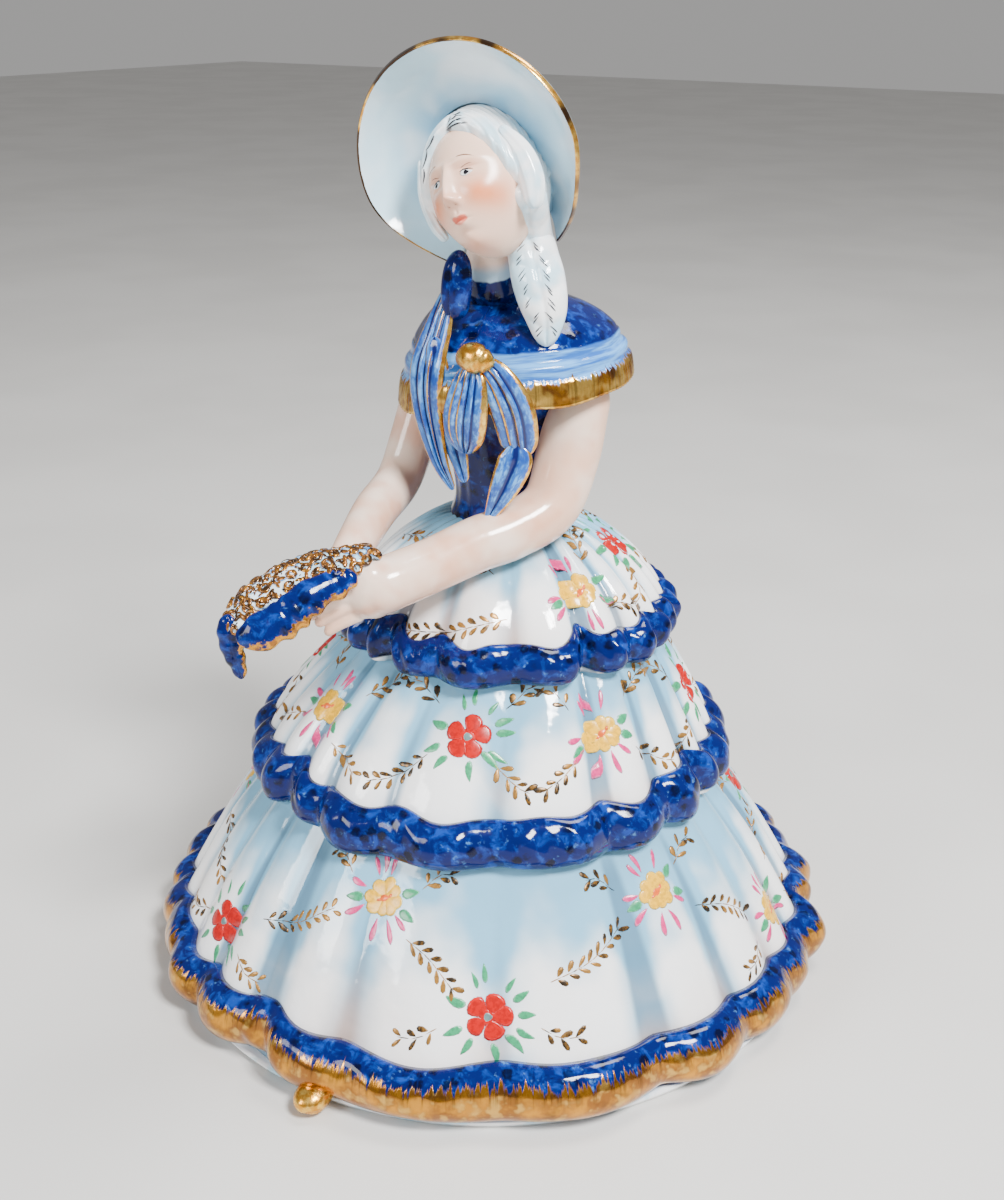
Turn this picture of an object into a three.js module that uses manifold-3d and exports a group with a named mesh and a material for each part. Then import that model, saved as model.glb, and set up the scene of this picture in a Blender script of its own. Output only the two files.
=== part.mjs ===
// A slip-cast porcelain figurine of a lady in a three-tiered crinoline gown and a wide bonnet.
// Every separately cast or pressed piece of the figure is its own solid, as it is before the
// pieces are luted together with slip and fired. Millimetres, +Z up, she faces -Y and her left
// side is +X. The origin is the centre of the foot ring, on the surface that the figure stands on.
import * as THREE from "three";
import { mergeVertices } from "three/addons/utils/BufferGeometryUtils.js";
import Module from "manifold-3d";

const wasm = await Module();
wasm.setup();

// ---------------------------------------------------------------- driving dimensions
const LUTING_GAP = 0.35; // room left between two pieces for the slip that joins them
const WALL = 2.7; // thickness of a cast wall
const DETAIL = 0.12; // facets that stray less than this from a surface are merged
const FOOT_RING = { outer: 80.2, inner: 71.8, height: 2 };
const ROUND = 64; // facets around the gown
const PLEATS = 16;
const PLEAT_DEPTH = 1.9;

// Outer outline of each tier of the gown as [radius, height], from its hem up.
const LOWER_TIER = [[82.2, 2.9], [80.8, 10], [77.8, 17], [67, 35], [55.6, 50.3], [51.4, 56]];
const MIDDLE_TIER = [[58, 51.8], [56, 58], [52.3, 65.5], [44, 77], [36.2, 86.6], [33, 91]];
const UPPER_TIER = [[39.8, 86.6], [38.6, 92], [35.4, 98.5], [29, 105.3], [20.6, 111.4], [14.2, 114.1]];

// A ruffled band is laid along the foot of each tier: how far below the tier's edge it starts,
// where along the outline it ends, how far it stands out, how far it rises and falls in
// scallops, and how much the gown narrows for each millimetre that it rises.
const HEM_BAND = { below: 0.6, to: 0.21, bulge: 4.6, scallop: 0.8, slope: 0.32 };
const MIDDLE_BAND = { below: 1.4, to: 0.27, bulge: 3.5, scallop: 0.9, slope: 0.4 };
const UPPER_BAND = { below: 0.8, to: 0.27, bulge: 2.9, scallop: 0.8, slope: 0.4 };
const SCALLOPS = 11;

const TORSO = { at: [3.5, 2.5], turn: 15, depth: 0.84 }; // depth is front-to-back over width
const BODICE = [
  [13.8, 114.5], [12.6, 118.5], [13.4, 126], [16, 137], [18.4, 147], [18.6, 153], [15.6, 160], [9.2, 165], [6.2, 168.4],
];
const CAPE = [[10, 165.8], [17.8, 163.1], [24.3, 158.2], [27.9, 151.9], [28.7, 147.6], [26.8, 146.6], [19.5, 147.6]];

const HEAD = { at: [7, -11.2, 190.4], yaw: -5, pitch: -16, roll: -25, radii: [11.1, 12.4, 15] };
const HAIR = { centre: [0, 1, 1], radii: [12.6, 13.4, 16.4] };
const BONNET = { at: [5.6, -10.7, 191.6], yaw: 12.5, pitch: 10.5, roll: -18 };
const CROWN = { centre: [0, 5.4, 2.2], radii: [15.4, 15.5, 17.2] };
const BRIM = { rise: 4.6, outline: [[11.5, 3.4], [16, 2.6], [20.6, 0.4], [24.8, -4]], wall: 1.3, pinch: 0.47 };

const rad = THREE.MathUtils.degToRad;
const glaze = (color, roughness = 0.12, metalness = 0) =>
  new THREE.MeshStandardMaterial({ color, roughness, metalness });
const WHITE = glaze(0xf3f6fa);
const PALE_BLUE = glaze(0xbfdcee);
const COBALT = glaze(0x12247c);
const SKY_BLUE = glaze(0x4f8fd6);
const FLESH = glaze(0xf2dccf, 0.3);
const GOLD = glaze(0xb98a36, 0.25, 1);

// ---------------------------------------------------------------- geometry helpers
const figure = new THREE.Group();
const torso = new THREE.Group();
torso.position.set(TORSO.at[0], TORSO.at[1], 0);
torso.rotation.z = rad(TORSO.turn);
const [head, bonnet] = [HEAD, BONNET].map(({ at, yaw, pitch, roll }) => {
  const group = new THREE.Group();
  group.position.set(...at);
  group.rotation.set(rad(pitch), rad(roll), rad(yaw), "ZXY");
  return group;
});
figure.add(torso, head, bonnet);

// The closed body that a geometry encloses, with its shared vertices merged and its faces out.
function solidOf(geometry, matrix = new THREE.Matrix4()) {
  const bare = new THREE.BufferGeometry();
  bare.setAttribute("position", geometry.getAttribute("position").clone());
  if (geometry.index) bare.setIndex(geometry.index.clone());
  bare.applyMatrix4(matrix);
  const merged = mergeVertices(bare, 1e-4);
  const made = (order) =>
    new wasm.Manifold(
      new wasm.Mesh({
        numProp: 3,
        vertProperties: merged.getAttribute("position").array,
        triVerts: order,
      }),
    );
  const solid = made(new Uint32Array(merged.index.array));
  return solid.volume() > 0 ? solid : made(new Uint32Array(merged.index.array).reverse());
}

// The surface of a solid, without any sliver that a cut has left loose beside it.
function geometryOf(solid) {
  const bodies = solid.simplify(DETAIL).decompose();
  const mesh = bodies.sort((a, b) => b.volume() - a.volume())[0].getMesh();
  const geometry = new THREE.BufferGeometry();
  geometry.setAttribute("position", new THREE.BufferAttribute(mesh.vertProperties, mesh.numProp));
  geometry.setIndex(new THREE.BufferAttribute(mesh.triVerts, 1));
  geometry.computeVertexNormals();
  return geometry;
}

function piece(name, geometry, material, parent = figure) {
  const mesh = new THREE.Mesh(geometryOf(solidOf(geometry)), material);
  mesh.name = name;
  parent.add(mesh);
  return mesh;
}

// Cuts geometries that are given in the frames of other groups away from a piece.
function carve(mesh, ...cuts) {
  figure.updateMatrixWorld(true);
  const toMesh = mesh.matrixWorld.clone().invert();
  let solid = solidOf(mesh.geometry);
  for (const [geometry, frame = figure] of cuts) {
    solid = solid.subtract(solidOf(geometry, toMesh.clone().multiply(frame.matrixWorld)));
  }
  mesh.geometry = geometryOf(solid);
}

// Turns an outline of [radius, height] points round the vertical axis.
function revolve(points, segments = ROUND) {
  const profile = points.map(([r, h]) => new THREE.Vector2(r, h));
  return new THREE.LatheGeometry(profile, segments).rotateX(Math.PI / 2);
}

// A smooth curve through an outline, with the outward normal at any share of its length.
function outlineCurve(outline) {
  const curve = new THREE.SplineCurve(outline.map(([r, h]) => new THREE.Vector2(r, h)));
  return (share, offset = 0) => {
    const at = curve.getPointAt(share);
    const along = curve.getTangentAt(share);
    return [at.x + along.y * offset, at.y - along.x * offset];
  };
}

const shares = (count, from = 0, to = 1) =>
  Array.from({ length: count + 1 }, (_, i) => from + ((to - from) * i) / count);

// Closed section of a cast shell: up the outer face and back down the inner one.
function shellSection(outline, steps) {
  const at = outlineCurve(outline);
  const outer = shares(steps).map((s) => at(s));
  const inner = shares(steps).map((s) => at(1 - s, -WALL));
  return [...outer, ...inner, outer[0]];
}

// Closed section of a band that lies on an outline and bulges out from it.
function bandSection(outline, band, steps) {
  const [foot, next] = outline;
  const reach = band.below / (next[1] - foot[1]);
  const at = outlineCurve([[foot[0] + (foot[0] - next[0]) * reach, foot[1] - band.below], ...outline]);
  const along = shares(steps, 0, band.to);
  const proud = (s) => LUTING_GAP + band.bulge * Math.sqrt(Math.max(0, Math.sin((Math.PI * s) / band.to)));
  const outer = along.map((s) => at(s, proud(s)));
  const inner = along.slice(1, -1).reverse().map((s) => at(s, LUTING_GAP));
  return [...outer, ...inner, outer[0]];
}

// Pleats of uneven width: the gown's wall dips towards its axis along each fold line.
function pleatDip(angle) {
  const phase = PLEATS * angle + 1.4 * Math.sin(3 * angle + 0.6);
  return PLEAT_DEPTH * (0.5 + 0.5 * Math.cos(phase)) ** 1.5;
}

// Lays the pleats into a turned piece of the gown, scallops its height, and leans its top over
// to where the waist stands.
function drape(geometry, { scallop, slope } = { scallop: 0, slope: 0 }) {
  const p = geometry.getAttribute("position");
  for (let i = 0; i < p.count; i++) {
    const [x, y, z] = [p.getX(i), p.getY(i), p.getZ(i)];
    const angle = Math.atan2(x, -y); // 0 at her front, growing to her left
    const lift = scallop * Math.cos(SCALLOPS * angle);
    const share = 1 - (pleatDip(angle) + slope * lift) / Math.hypot(x, y);
    const lean = THREE.MathUtils.smoothstep(z, 60, 92);
    p.setXYZ(i, x * share + lean * TORSO.at[0], y * share + lean * TORSO.at[1], z + lift);
  }
  return geometry;
}

// An ellipsoid, swollen by a gap when it serves to cut its neighbours.
function ellipsoid(radii, centre = [0, 0, 0], gap = 0, [across, down] = [24, 14]) {
  return new THREE.SphereGeometry(1, across, down)
    .scale(...radii.map((r) => r + gap))
    .translate(...centre);
}

// A tapered rod with round ends between two points.
function taper(from, to, gap, facets) {
  const [a, b] = [new THREE.Vector3(...from), new THREE.Vector3(...to)];
  const [ra, rb] = [from[3] + gap, to[3] + gap];
  const length = a.distanceTo(b);
  const cap = 3;
  const points = [
    ...shares(cap).map((s) => [ra * Math.sin((s * Math.PI) / 2), -ra * Math.cos((s * Math.PI) / 2)]),
    ...shares(cap).map((s) => [rb * Math.cos((s * Math.PI) / 2), length + rb * Math.sin((s * Math.PI) / 2)]),
  ];
  const turn = new THREE.Quaternion().setFromUnitVectors(new THREE.Vector3(0, 0, 1), b.clone().sub(a).normalize());
  return revolve(points.map(([r, h]) => [Math.max(r, 0), h]), facets)
    .applyQuaternion(turn)
    .translate(a.x, a.y, a.z);
}

// A limb, plait or cord of slip: rods joined through a list of [x, y, z, radius].
function limb(points, gap = 0, facets = 12) {
  const rods = points.slice(1).map((to, i) => solidOf(taper(points[i], to, gap, facets)));
  return geometryOf(rods.reduce((whole, rod) => whole.add(rod)));
}

// A flat leaf of clay from one point to another, its broad side turned towards facing.
function leaf(from, to, width, thickness, facing, gap = 0) {
  const [a, b] = [new THREE.Vector3(...from), new THREE.Vector3(...to)];
  const along = b.clone().sub(a);
  const length = along.length();
  along.normalize();
  const side = new THREE.Vector3(...facing).cross(along).normalize();
  const front = along.clone().cross(side);
  const basis = new THREE.Matrix4().makeBasis(side, front, along);
  basis.setPosition(a.add(b).multiplyScalar(0.5));
  return ellipsoid([width / 2, thickness / 2, length / 2], [0, 0, 0], gap, [16, 10]).applyMatrix4(basis);
}

// ---------------------------------------------------------------- gown
const tiers = [
  ["lower", LOWER_TIER, HEM_BAND, "hem_band"],
  ["middle", MIDDLE_TIER, MIDDLE_BAND, "middle_band"],
  ["upper", UPPER_TIER, UPPER_BAND, "upper_band"],
];
for (const [place, outline, band, bandName] of tiers) {
  piece(place + "_skirt_tier", drape(revolve(shellSection(outline, 5))), WHITE);
  piece(bandName, drape(revolve(bandSection(outline, band, 5)), band), COBALT);
}
const footRing = [
  [FOOT_RING.inner, 0], [FOOT_RING.outer - 1, 0], [FOOT_RING.outer - 1, FOOT_RING.height],
  [FOOT_RING.inner, FOOT_RING.height], [FOOT_RING.inner, 0],
];
piece("foot_ring", revolve(footRing), PALE_BLUE);

const underHem = LOWER_TIER.slice(0, 3).map(([r, h]) => [r + 2 * LUTING_GAP, h]);
const slipper = piece("slipper_toe", ellipsoid([4.2, 6.4, 3.3], [10.8, -81.4, 3.7]), GOLD);
carve(slipper,
  [drape(revolve(bandSection(LOWER_TIER, { ...HEM_BAND, below: 1, to: 0.22, bulge: 5.2 }, 6)), HEM_BAND)],
  [revolve([[0, -1], [underHem[0][0], -1], ...underHem, [0, underHem.at(-1)[1]]])],
);

// ---------------------------------------------------------------- torso
function bodiceShape(gap = 0) {
  const outer = BODICE.map(([r, h]) => [r + gap, h]);
  const inner = BODICE.slice(0, -2).reverse().map(([r, h]) => [r - WALL, h - 1]);
  const base = [BODICE[0][0] - WALL, BODICE[0][1]];
  const hollow = [[0, inner[0][1] + 2], ...inner.slice(0, -1), base, ...outer, [0, outer.at(-1)[1]]];
  const solid = [[0, BODICE[0][1] - gap], ...outer, [0, outer.at(-1)[1] + gap]];
  return bust(revolve(gap ? solid : hollow, 36).scale(1, TORSO.depth, 1));
}

// Swells the front of the bodice over the bust.
function bust(geometry) {
  const p = geometry.getAttribute("position");
  for (let i = 0; i < p.count; i++) {
    const [x, y, z] = [p.getX(i), p.getY(i), p.getZ(i)];
    const swell = 3.4 * Math.exp(-((z - 148) ** 2) / 70 - (Math.abs(x) - 6.5) ** 2 / 40);
    if (y < 0) p.setY(i, y - swell * Math.min(1, -y / 8));
  }
  return geometry;
}
piece("bodice", bodiceShape(), COBALT, torso);

// The cape collar covers both shoulders and is split at the centre front and back.
function capeHalf(side) {
  const ring = solidOf(revolve([...CAPE, [12, 148], [8, 162], CAPE[0]], 36).scale(1, TORSO.depth, 1));
  const kept = new THREE.BoxGeometry(60, 80, 60).translate(side * (30 + LUTING_GAP / 2), 0, 152);
  return geometryOf(ring.intersect(solidOf(kept)));
}
const leftCape = piece("left_cape_sleeve", capeHalf(1), SKY_BLUE, torso);
const rightCape = piece("right_cape_sleeve", capeHalf(-1), SKY_BLUE, torso);
for (const cape of [leftCape, rightCape]) carve(cape, [bodiceShape(LUTING_GAP), torso]);

const neckRod = (gap) => limb([[4.3, -2.6, 165, 5.2], [5.2, -9, 182, 5.2]], gap);
const neck = piece("neck", neckRod(0), FLESH);
const headShape = (gap) => ellipsoid(HEAD.radii, [0, 0, 0], gap);
carve(neck, [bodiceShape(LUTING_GAP), torso], [headShape(LUTING_GAP), head]);
carve(leftCape, [neckRod(LUTING_GAP)]);
carve(rightCape, [neckRod(LUTING_GAP)]);

const bodiceCut = [bodiceShape(LUTING_GAP), torso];
const capeCut = [
  revolve([[0, 146], [26.6, 146], [29.3, 147.4], [28.4, 152.2], [24.7, 158.7], [18.1, 163.7], [10, 166.4], [0, 166.4]], 36)
    .scale(1, TORSO.depth, 1),
  torso,
];

// ---------------------------------------------------------------- head, hair and bonnet
piece("head", headShape(0), FLESH, head);
const hairShape = (gap) => ellipsoid(HAIR.radii, HAIR.centre, gap);
const faceOpening = ellipsoid([11.4, 13, 13.6], [0, -10.6, -3.6]);
const hair = piece("hair", hairShape(0), WHITE, head);
carve(hair, [headShape(LUTING_GAP), head], [faceOpening, head], [neckRod(LUTING_GAP)]);

const crownFront = new THREE.BoxGeometry(60, 40, 60).translate(0, -20 + 3.6, 0);
const crownShape = (gap) => ellipsoid(CROWN.radii, CROWN.centre, gap);
const crown = piece("bonnet_crown", crownShape(0), PALE_BLUE, bonnet);
carve(crown, [hairShape(LUTING_GAP), head], [crownFront, bonnet], [neckRod(LUTING_GAP)], [headShape(LUTING_GAP), head]);

// The brim is a flared ring about the line of sight, drawn in towards the chin.
function brimShape() {
  const at = outlineCurve(BRIM.outline);
  const front = shares(6).map((s) => at(s));
  const back = shares(6).map((s) => at(1 - s, -BRIM.wall));
  const geometry = revolve([...front, ...back, front[0]], 40).rotateX(-Math.PI / 2);
  const p = geometry.getAttribute("position");
  for (let i = 0; i < p.count; i++) {
    const drop = Math.max(0, -p.getZ(i) / BRIM.outline.at(-1)[0]);
    p.setX(i, p.getX(i) * (1 - BRIM.pinch * drop ** 2));
  }
  return geometry.translate(0, 0, BRIM.rise);
}
const brim = piece("bonnet_brim", brimShape(), PALE_BLUE, bonnet);
const chinGap = new THREE.BoxGeometry(17, 40, 20).translate(2, 0, -22);
carve(brim, [hairShape(LUTING_GAP), head], [headShape(LUTING_GAP), head], [chinGap, bonnet], [neckRod(LUTING_GAP)],
  [crownShape(LUTING_GAP), bonnet]);

const braidPoints = [[13.4, -6, 182, 3], [17.4, -8.4, 173.4, 5.2], [20.4, -8.6, 166.4, 4.4], [22, -7.4, 159.6, 2.2]];
const braid = piece("left_braid", limb(braidPoints), WHITE);
carve(brim, [limb(braidPoints, LUTING_GAP)]);
carve(braid,
  [hairShape(LUTING_GAP), head], [headShape(LUTING_GAP), head], [neckRod(LUTING_GAP)],
  [crownShape(LUTING_GAP), bonnet], capeCut,
);

// ---------------------------------------------------------------- ribbons on the bodice
function joined(...geometries) {
  return geometryOf(geometries.map((g) => solidOf(g)).reduce((whole, part) => whole.add(part)));
}

const chinBow = piece("chin_bow", joined(
  leaf([3.8, -15.6, 177.5], [4, -17, 168.5], 6.4, 4, [0.1, -1, 0.1]),
  leaf([4, -17, 171], [3.2, -17.2, 162], 7.2, 4, [0, -1, 0.1]),
), COBALT);
carve(chinBow, [neckRod(LUTING_GAP)], bodiceCut, capeCut, [headShape(LUTING_GAP), head]);

const shoulderRibbonShape = (gap) => joined(
  leaf([-0.5, -15.5, 170], [-3.2, -22, 147], 10, 3.2, [-0.2, -1, 0.3], gap),
  leaf([-3, -21.4, 153], [6.8, -22.6, 126.6], 8.6, 3.2, [0, -1, 0.1], gap),
);
const shoulderRibbon = piece("shoulder_ribbon", shoulderRibbonShape(0), SKY_BLUE);
carve(shoulderRibbon, bodiceCut, capeCut, [neckRod(LUTING_GAP)],
  [limb([[3.8, -15.6, 177.5, 3.4], [3.2, -17.2, 162, 3.8]], LUTING_GAP)]);

const knotShape = (gap) => ellipsoid([3.9, 3.2, 3.6], [11.4, -21.4, 156.4], gap, [16, 12]);
piece("breast_knot", knotShape(0), GOLD);
const leftLoopShape = (gap) => leaf([11.4, -20.6, 157], [9, -22.4, 134.5], 12.4, 4, [0, -1, 0.1], gap);
const leftLoop = piece("left_bow_loop", leftLoopShape(0), SKY_BLUE);
carve(leftLoop, bodiceCut, capeCut, [knotShape(LUTING_GAP)], [shoulderRibbonShape(LUTING_GAP)]);
const rightLoopShape = (gap) => joined(
  leaf([12.4, -20.8, 157], [20.6, -15.6, 134.5], 10, 4, [0.4, -1, 0.1], gap),
  leaf([19.2, -16.6, 141], [15.2, -21.6, 120.6], 8, 2.6, [0.5, -1, 0.2], gap),
);
const rightLoop = piece("right_bow_loop", rightLoopShape(0), SKY_BLUE);
carve(rightLoop, bodiceCut, capeCut, [knotShape(LUTING_GAP)], [leftLoopShape(LUTING_GAP)],
  [shoulderRibbonShape(LUTING_GAP)]);

// ---------------------------------------------------------------- arms and fan
const LEFT_ARM = [
  [21.8, 5.5, 149, 7.4], [21.6, 0.5, 132, 7], [21.4, -5.6, 120.6, 6.4], [12.8, -23.6, 115.5, 6],
  [5.4, -42.6, 110.9, 5.8], [1.2, -51, 109.8, 6.3], [-5.4, -62, 106, 3.2],
];
const RIGHT_ARM = [
  [-14, -1.5, 149, 6.4], [-15.8, -8.5, 132, 5.6], [-16, -14.5, 122, 5.5], [-7.6, -42.5, 117, 4.8],
  [-8, -50.5, 115.4, 4.4], [-11.4, -57.5, 112.6, 2.4],
];
const armShape = (points, gap) => limb(points, gap);
const leftArm = piece("left_arm", armShape(LEFT_ARM, 0), FLESH);
carve(leftArm, capeCut, bodiceCut, [rightLoopShape(LUTING_GAP)]);
const rightArm = piece("right_arm", armShape(RIGHT_ARM, 0), FLESH);
carve(rightArm, capeCut, bodiceCut, [armShape(LEFT_ARM, LUTING_GAP)]);

const fanShape = (gap) => leaf([0.5, -49.6, 117.6], [-16, -73.5, 105.4], 15.5, 7.6, [0.25, -0.3, 1], gap);
const borderShape = (gap) => leaf([3, -52.6, 115.4], [-12.8, -75, 103], 12, 5.4, [0.6, -0.5, 0.6], gap);
const hands = [[armShape(LEFT_ARM, LUTING_GAP)], [armShape(RIGHT_ARM, LUTING_GAP)]];
const fan = piece("fan_leaf", fanShape(0), PALE_BLUE);
carve(fan, ...hands);
const border = piece("fan_border", borderShape(0), COBALT);
carve(border, [fanShape(LUTING_GAP)], ...hands);
const guard = piece("fan_guard", limb([[-15.2, -72.6, 103.6, 2.2], [-13.8, -71.4, 95.6, 1.6]]), COBALT);
carve(guard, [fanShape(LUTING_GAP)], [borderShape(LUTING_GAP)]);

export default figure;
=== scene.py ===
"""Her looks: a hand-painted porcelain lady in a three-tiered gown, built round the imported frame."""

import math

import bmesh
import bpy
import numpy as np
from mathutils import Matrix, Vector
from mathutils.bvhtree import BVHTree


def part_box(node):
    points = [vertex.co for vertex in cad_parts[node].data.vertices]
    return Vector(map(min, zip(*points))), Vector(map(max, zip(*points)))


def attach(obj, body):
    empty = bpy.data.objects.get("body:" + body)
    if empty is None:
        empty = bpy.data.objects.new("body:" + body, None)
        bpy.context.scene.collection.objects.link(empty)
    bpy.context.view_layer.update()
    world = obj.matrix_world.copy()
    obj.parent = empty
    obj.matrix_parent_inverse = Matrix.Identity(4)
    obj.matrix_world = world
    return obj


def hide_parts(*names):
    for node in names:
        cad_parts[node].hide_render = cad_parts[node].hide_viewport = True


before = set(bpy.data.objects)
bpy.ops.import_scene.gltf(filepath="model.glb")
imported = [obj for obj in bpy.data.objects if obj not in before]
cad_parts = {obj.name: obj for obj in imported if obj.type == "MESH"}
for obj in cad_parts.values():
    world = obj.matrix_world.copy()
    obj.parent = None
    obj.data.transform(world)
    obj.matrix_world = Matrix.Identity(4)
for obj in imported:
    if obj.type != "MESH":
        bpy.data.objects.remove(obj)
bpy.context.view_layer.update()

MM = 0.001
WALL = 2.6  # of the gown and the bodice
LEAN = (3.5, 2.5)  # how far the waist stands from the middle of the gown
TORSO_TURN = 15  # degrees to her left
TORSO_DEPTH = 0.84  # front to back over side to side


def turned(yaw, pitch, roll):
    """A turn to her left, then back and over to her left, in degrees."""
    turns = ((yaw, "Z"), (pitch, "X"), (roll, "Y"))
    z, x, y = (Matrix.Rotation(math.radians(angle), 3, axis) for angle, axis in turns)
    return z @ x @ y


HEAD_TURN = turned(-5, -16, -25)
BONNET_TURN = turned(12.5, 10.5, -18)


# ---------------------------------------------------------------- measuring
class Place:
    """The box of CAD nodes in millimetres, and points at shares of it."""

    def __init__(self, *nodes):
        boxes = [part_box(node) for node in nodes]
        self.low = np.min([tuple(low) for low, _ in boxes], axis=0) / MM
        self.high = np.max([tuple(high) for _, high in boxes], axis=0) / MM
        self.size = self.high - self.low

    def at(self, across, back, up):
        return self.low + self.size * (across, back, up)

    def path(self, *shares):
        """Points of [across, back, up, half width], the last in millimetres."""
        return np.array([[*self.at(*share[:3]), share[3]] for share in shares])


def smooth_line(points, count, dims=3):
    """A smooth line through points as evenly spaced samples; dims is how many columns are a place."""
    p = np.asarray(points, float)
    ends = np.vstack([2 * p[0] - p[1], p, 2 * p[-1] - p[-2]])
    t = np.linspace(0, 1, 40, endpoint=False)[:, None]
    spans = [
        0.5 * (2 * b + (c - a) * t + (2 * a - 5 * b + 4 * c - d) * t**2 + (3 * b - a - 3 * c + d) * t**3)
        for a, b, c, d in zip(ends, ends[1:], ends[2:], ends[3:])
    ]
    dense = np.vstack([*spans, p[-1:]])
    steps = np.linalg.norm(np.diff(dense[:, :dims], axis=0), axis=1)
    walked = np.r_[0, np.cumsum(steps)]
    even = np.linspace(0, walked[-1], count)
    return np.column_stack([np.interp(even, walked, column) for column in dense.T])


def unit(vectors):
    return vectors / np.maximum(np.linalg.norm(vectors, axis=-1, keepdims=True), 1e-12)


def ease(value, low, high):
    t = np.clip((value - low) / (high - low), 0, 1)
    return t * t * (3 - 2 * t)


def hump(value, width):
    """1 where value is 0, falling away to both sides over width."""
    return np.exp(-((value / width) ** 2))


def wander(angle, seed, slow, fast):
    """Random waves round a circle, from slow to fast of them to a turn."""
    dice = np.random.default_rng(seed)
    waves = range(slow, fast + 1)
    total = sum(dice.normal() * np.sin(k * angle + dice.uniform(0, math.tau)) for k in waves)
    return total / math.sqrt(len(waves))


class Outline:
    """The outer line of a turned piece, from its foot up, walked by its share of length."""

    def __init__(self, place, points):
        radius = place.size[0] / 2
        line = [(r * radius, place.low[2] + h * place.size[2]) for r, h in points]
        self.line = smooth_line(line, 200, 2)
        self.length = np.linalg.norm(np.diff(self.line, axis=0), axis=1).sum()
        self.slope = unit(np.gradient(self.line, axis=0))

    def at(self, share, proud=0.0):
        share = np.asarray(share, float)
        inside = np.clip(share, 0, 1)
        beyond = (share - inside) * self.length
        knots = np.linspace(0, 1, 200)
        radius, height = (np.interp(inside, knots, column) for column in self.line.T)
        out, up = (np.interp(inside, knots, column) for column in self.slope.T)
        return radius + beyond * out + proud * up, height + beyond * up - proud * out


# ---------------------------------------------------------------- clay
def close_up(mesh):
    """Merges what meets, turns every face outwards and smooths the shading."""
    clay = bmesh.new()
    clay.from_mesh(mesh)
    bmesh.ops.remove_doubles(clay, verts=clay.verts, dist=2e-6)
    bmesh.ops.dissolve_degenerate(clay, edges=clay.edges, dist=1e-7)
    bmesh.ops.recalc_face_normals(clay, faces=clay.faces)
    if clay.calc_volume(signed=True) < 0:
        bmesh.ops.reverse_faces(clay, faces=clay.faces)
    clay.to_mesh(mesh)
    clay.free()
    mesh.shade_smooth()
    return mesh


def skin(points, around=True, through=True, caps=False, **layers):
    """A skin over a grid of points; around and through say which ways it joins up with itself."""
    rows, columns = points.shape[:2]
    index = np.arange(rows * columns).reshape(rows, columns)
    if around:
        index = np.vstack([index, index[:1]])
    if through:
        index = np.hstack([index, index[:, :1]])
    corners = (index[:-1, :-1], index[1:, :-1], index[1:, 1:], index[:-1, 1:])
    faces = np.stack(corners, axis=-1).reshape(-1, 4).tolist()
    if caps:
        faces += [index[0, :columns].tolist(), index[-1, :columns].tolist()]
    mesh = bpy.data.meshes.new("skin")
    mesh.from_pydata((points.reshape(-1, 3) * MM).tolist(), [], faces)
    for name, values in layers.items():
        layer = mesh.attributes.new(name, "FLOAT", "POINT")
        spread = np.broadcast_to(values, (rows, columns)).astype(np.float32)
        layer.data.foreach_set("value", np.ascontiguousarray(spread).ravel())
    return close_up(mesh)


def hold(name, mesh):
    """An object for a mesh, in the scene."""
    piece = bpy.data.objects.new(name, mesh)
    bpy.context.scene.collection.objects.link(piece)
    return piece


def baked(piece):
    """The mesh of a piece with its modifiers worked into it; the piece itself is dropped."""
    graph = bpy.context.evaluated_depsgraph_get()
    mesh = bpy.data.meshes.new_from_object(piece.evaluated_get(graph), depsgraph=graph)
    bpy.data.objects.remove(piece)
    return mesh


def gather(meshes):
    """One mesh that holds several."""
    clay = bmesh.new()
    for mesh in meshes:
        clay.from_mesh(mesh)
    whole = bpy.data.meshes.new("gathered")
    clay.to_mesh(whole)
    clay.free()
    return whole


def fuse(meshes, grain, rounds=6):
    """Presses overlapping lumps of clay into one skin and sponges it smooth."""
    lump = hold("lump", gather(meshes))
    remesh = lump.modifiers.new("press", "REMESH")
    remesh.mode = "VOXEL"
    remesh.voxel_size = grain * MM
    sponge = lump.modifiers.new("sponge", "SMOOTH")
    sponge.factor = 0.5
    sponge.iterations = rounds
    return close_up(baked(lump))


def settle(name, mesh, material, slot, *nodes):
    """Puts a finished piece in the scene, in place of the CAD nodes that it stands for."""
    piece = hold(name, mesh)
    mesh.materials.clear()
    mesh.materials.append(material)
    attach(piece, "root")
    if nodes:
        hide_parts(*nodes)
    return piece


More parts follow.
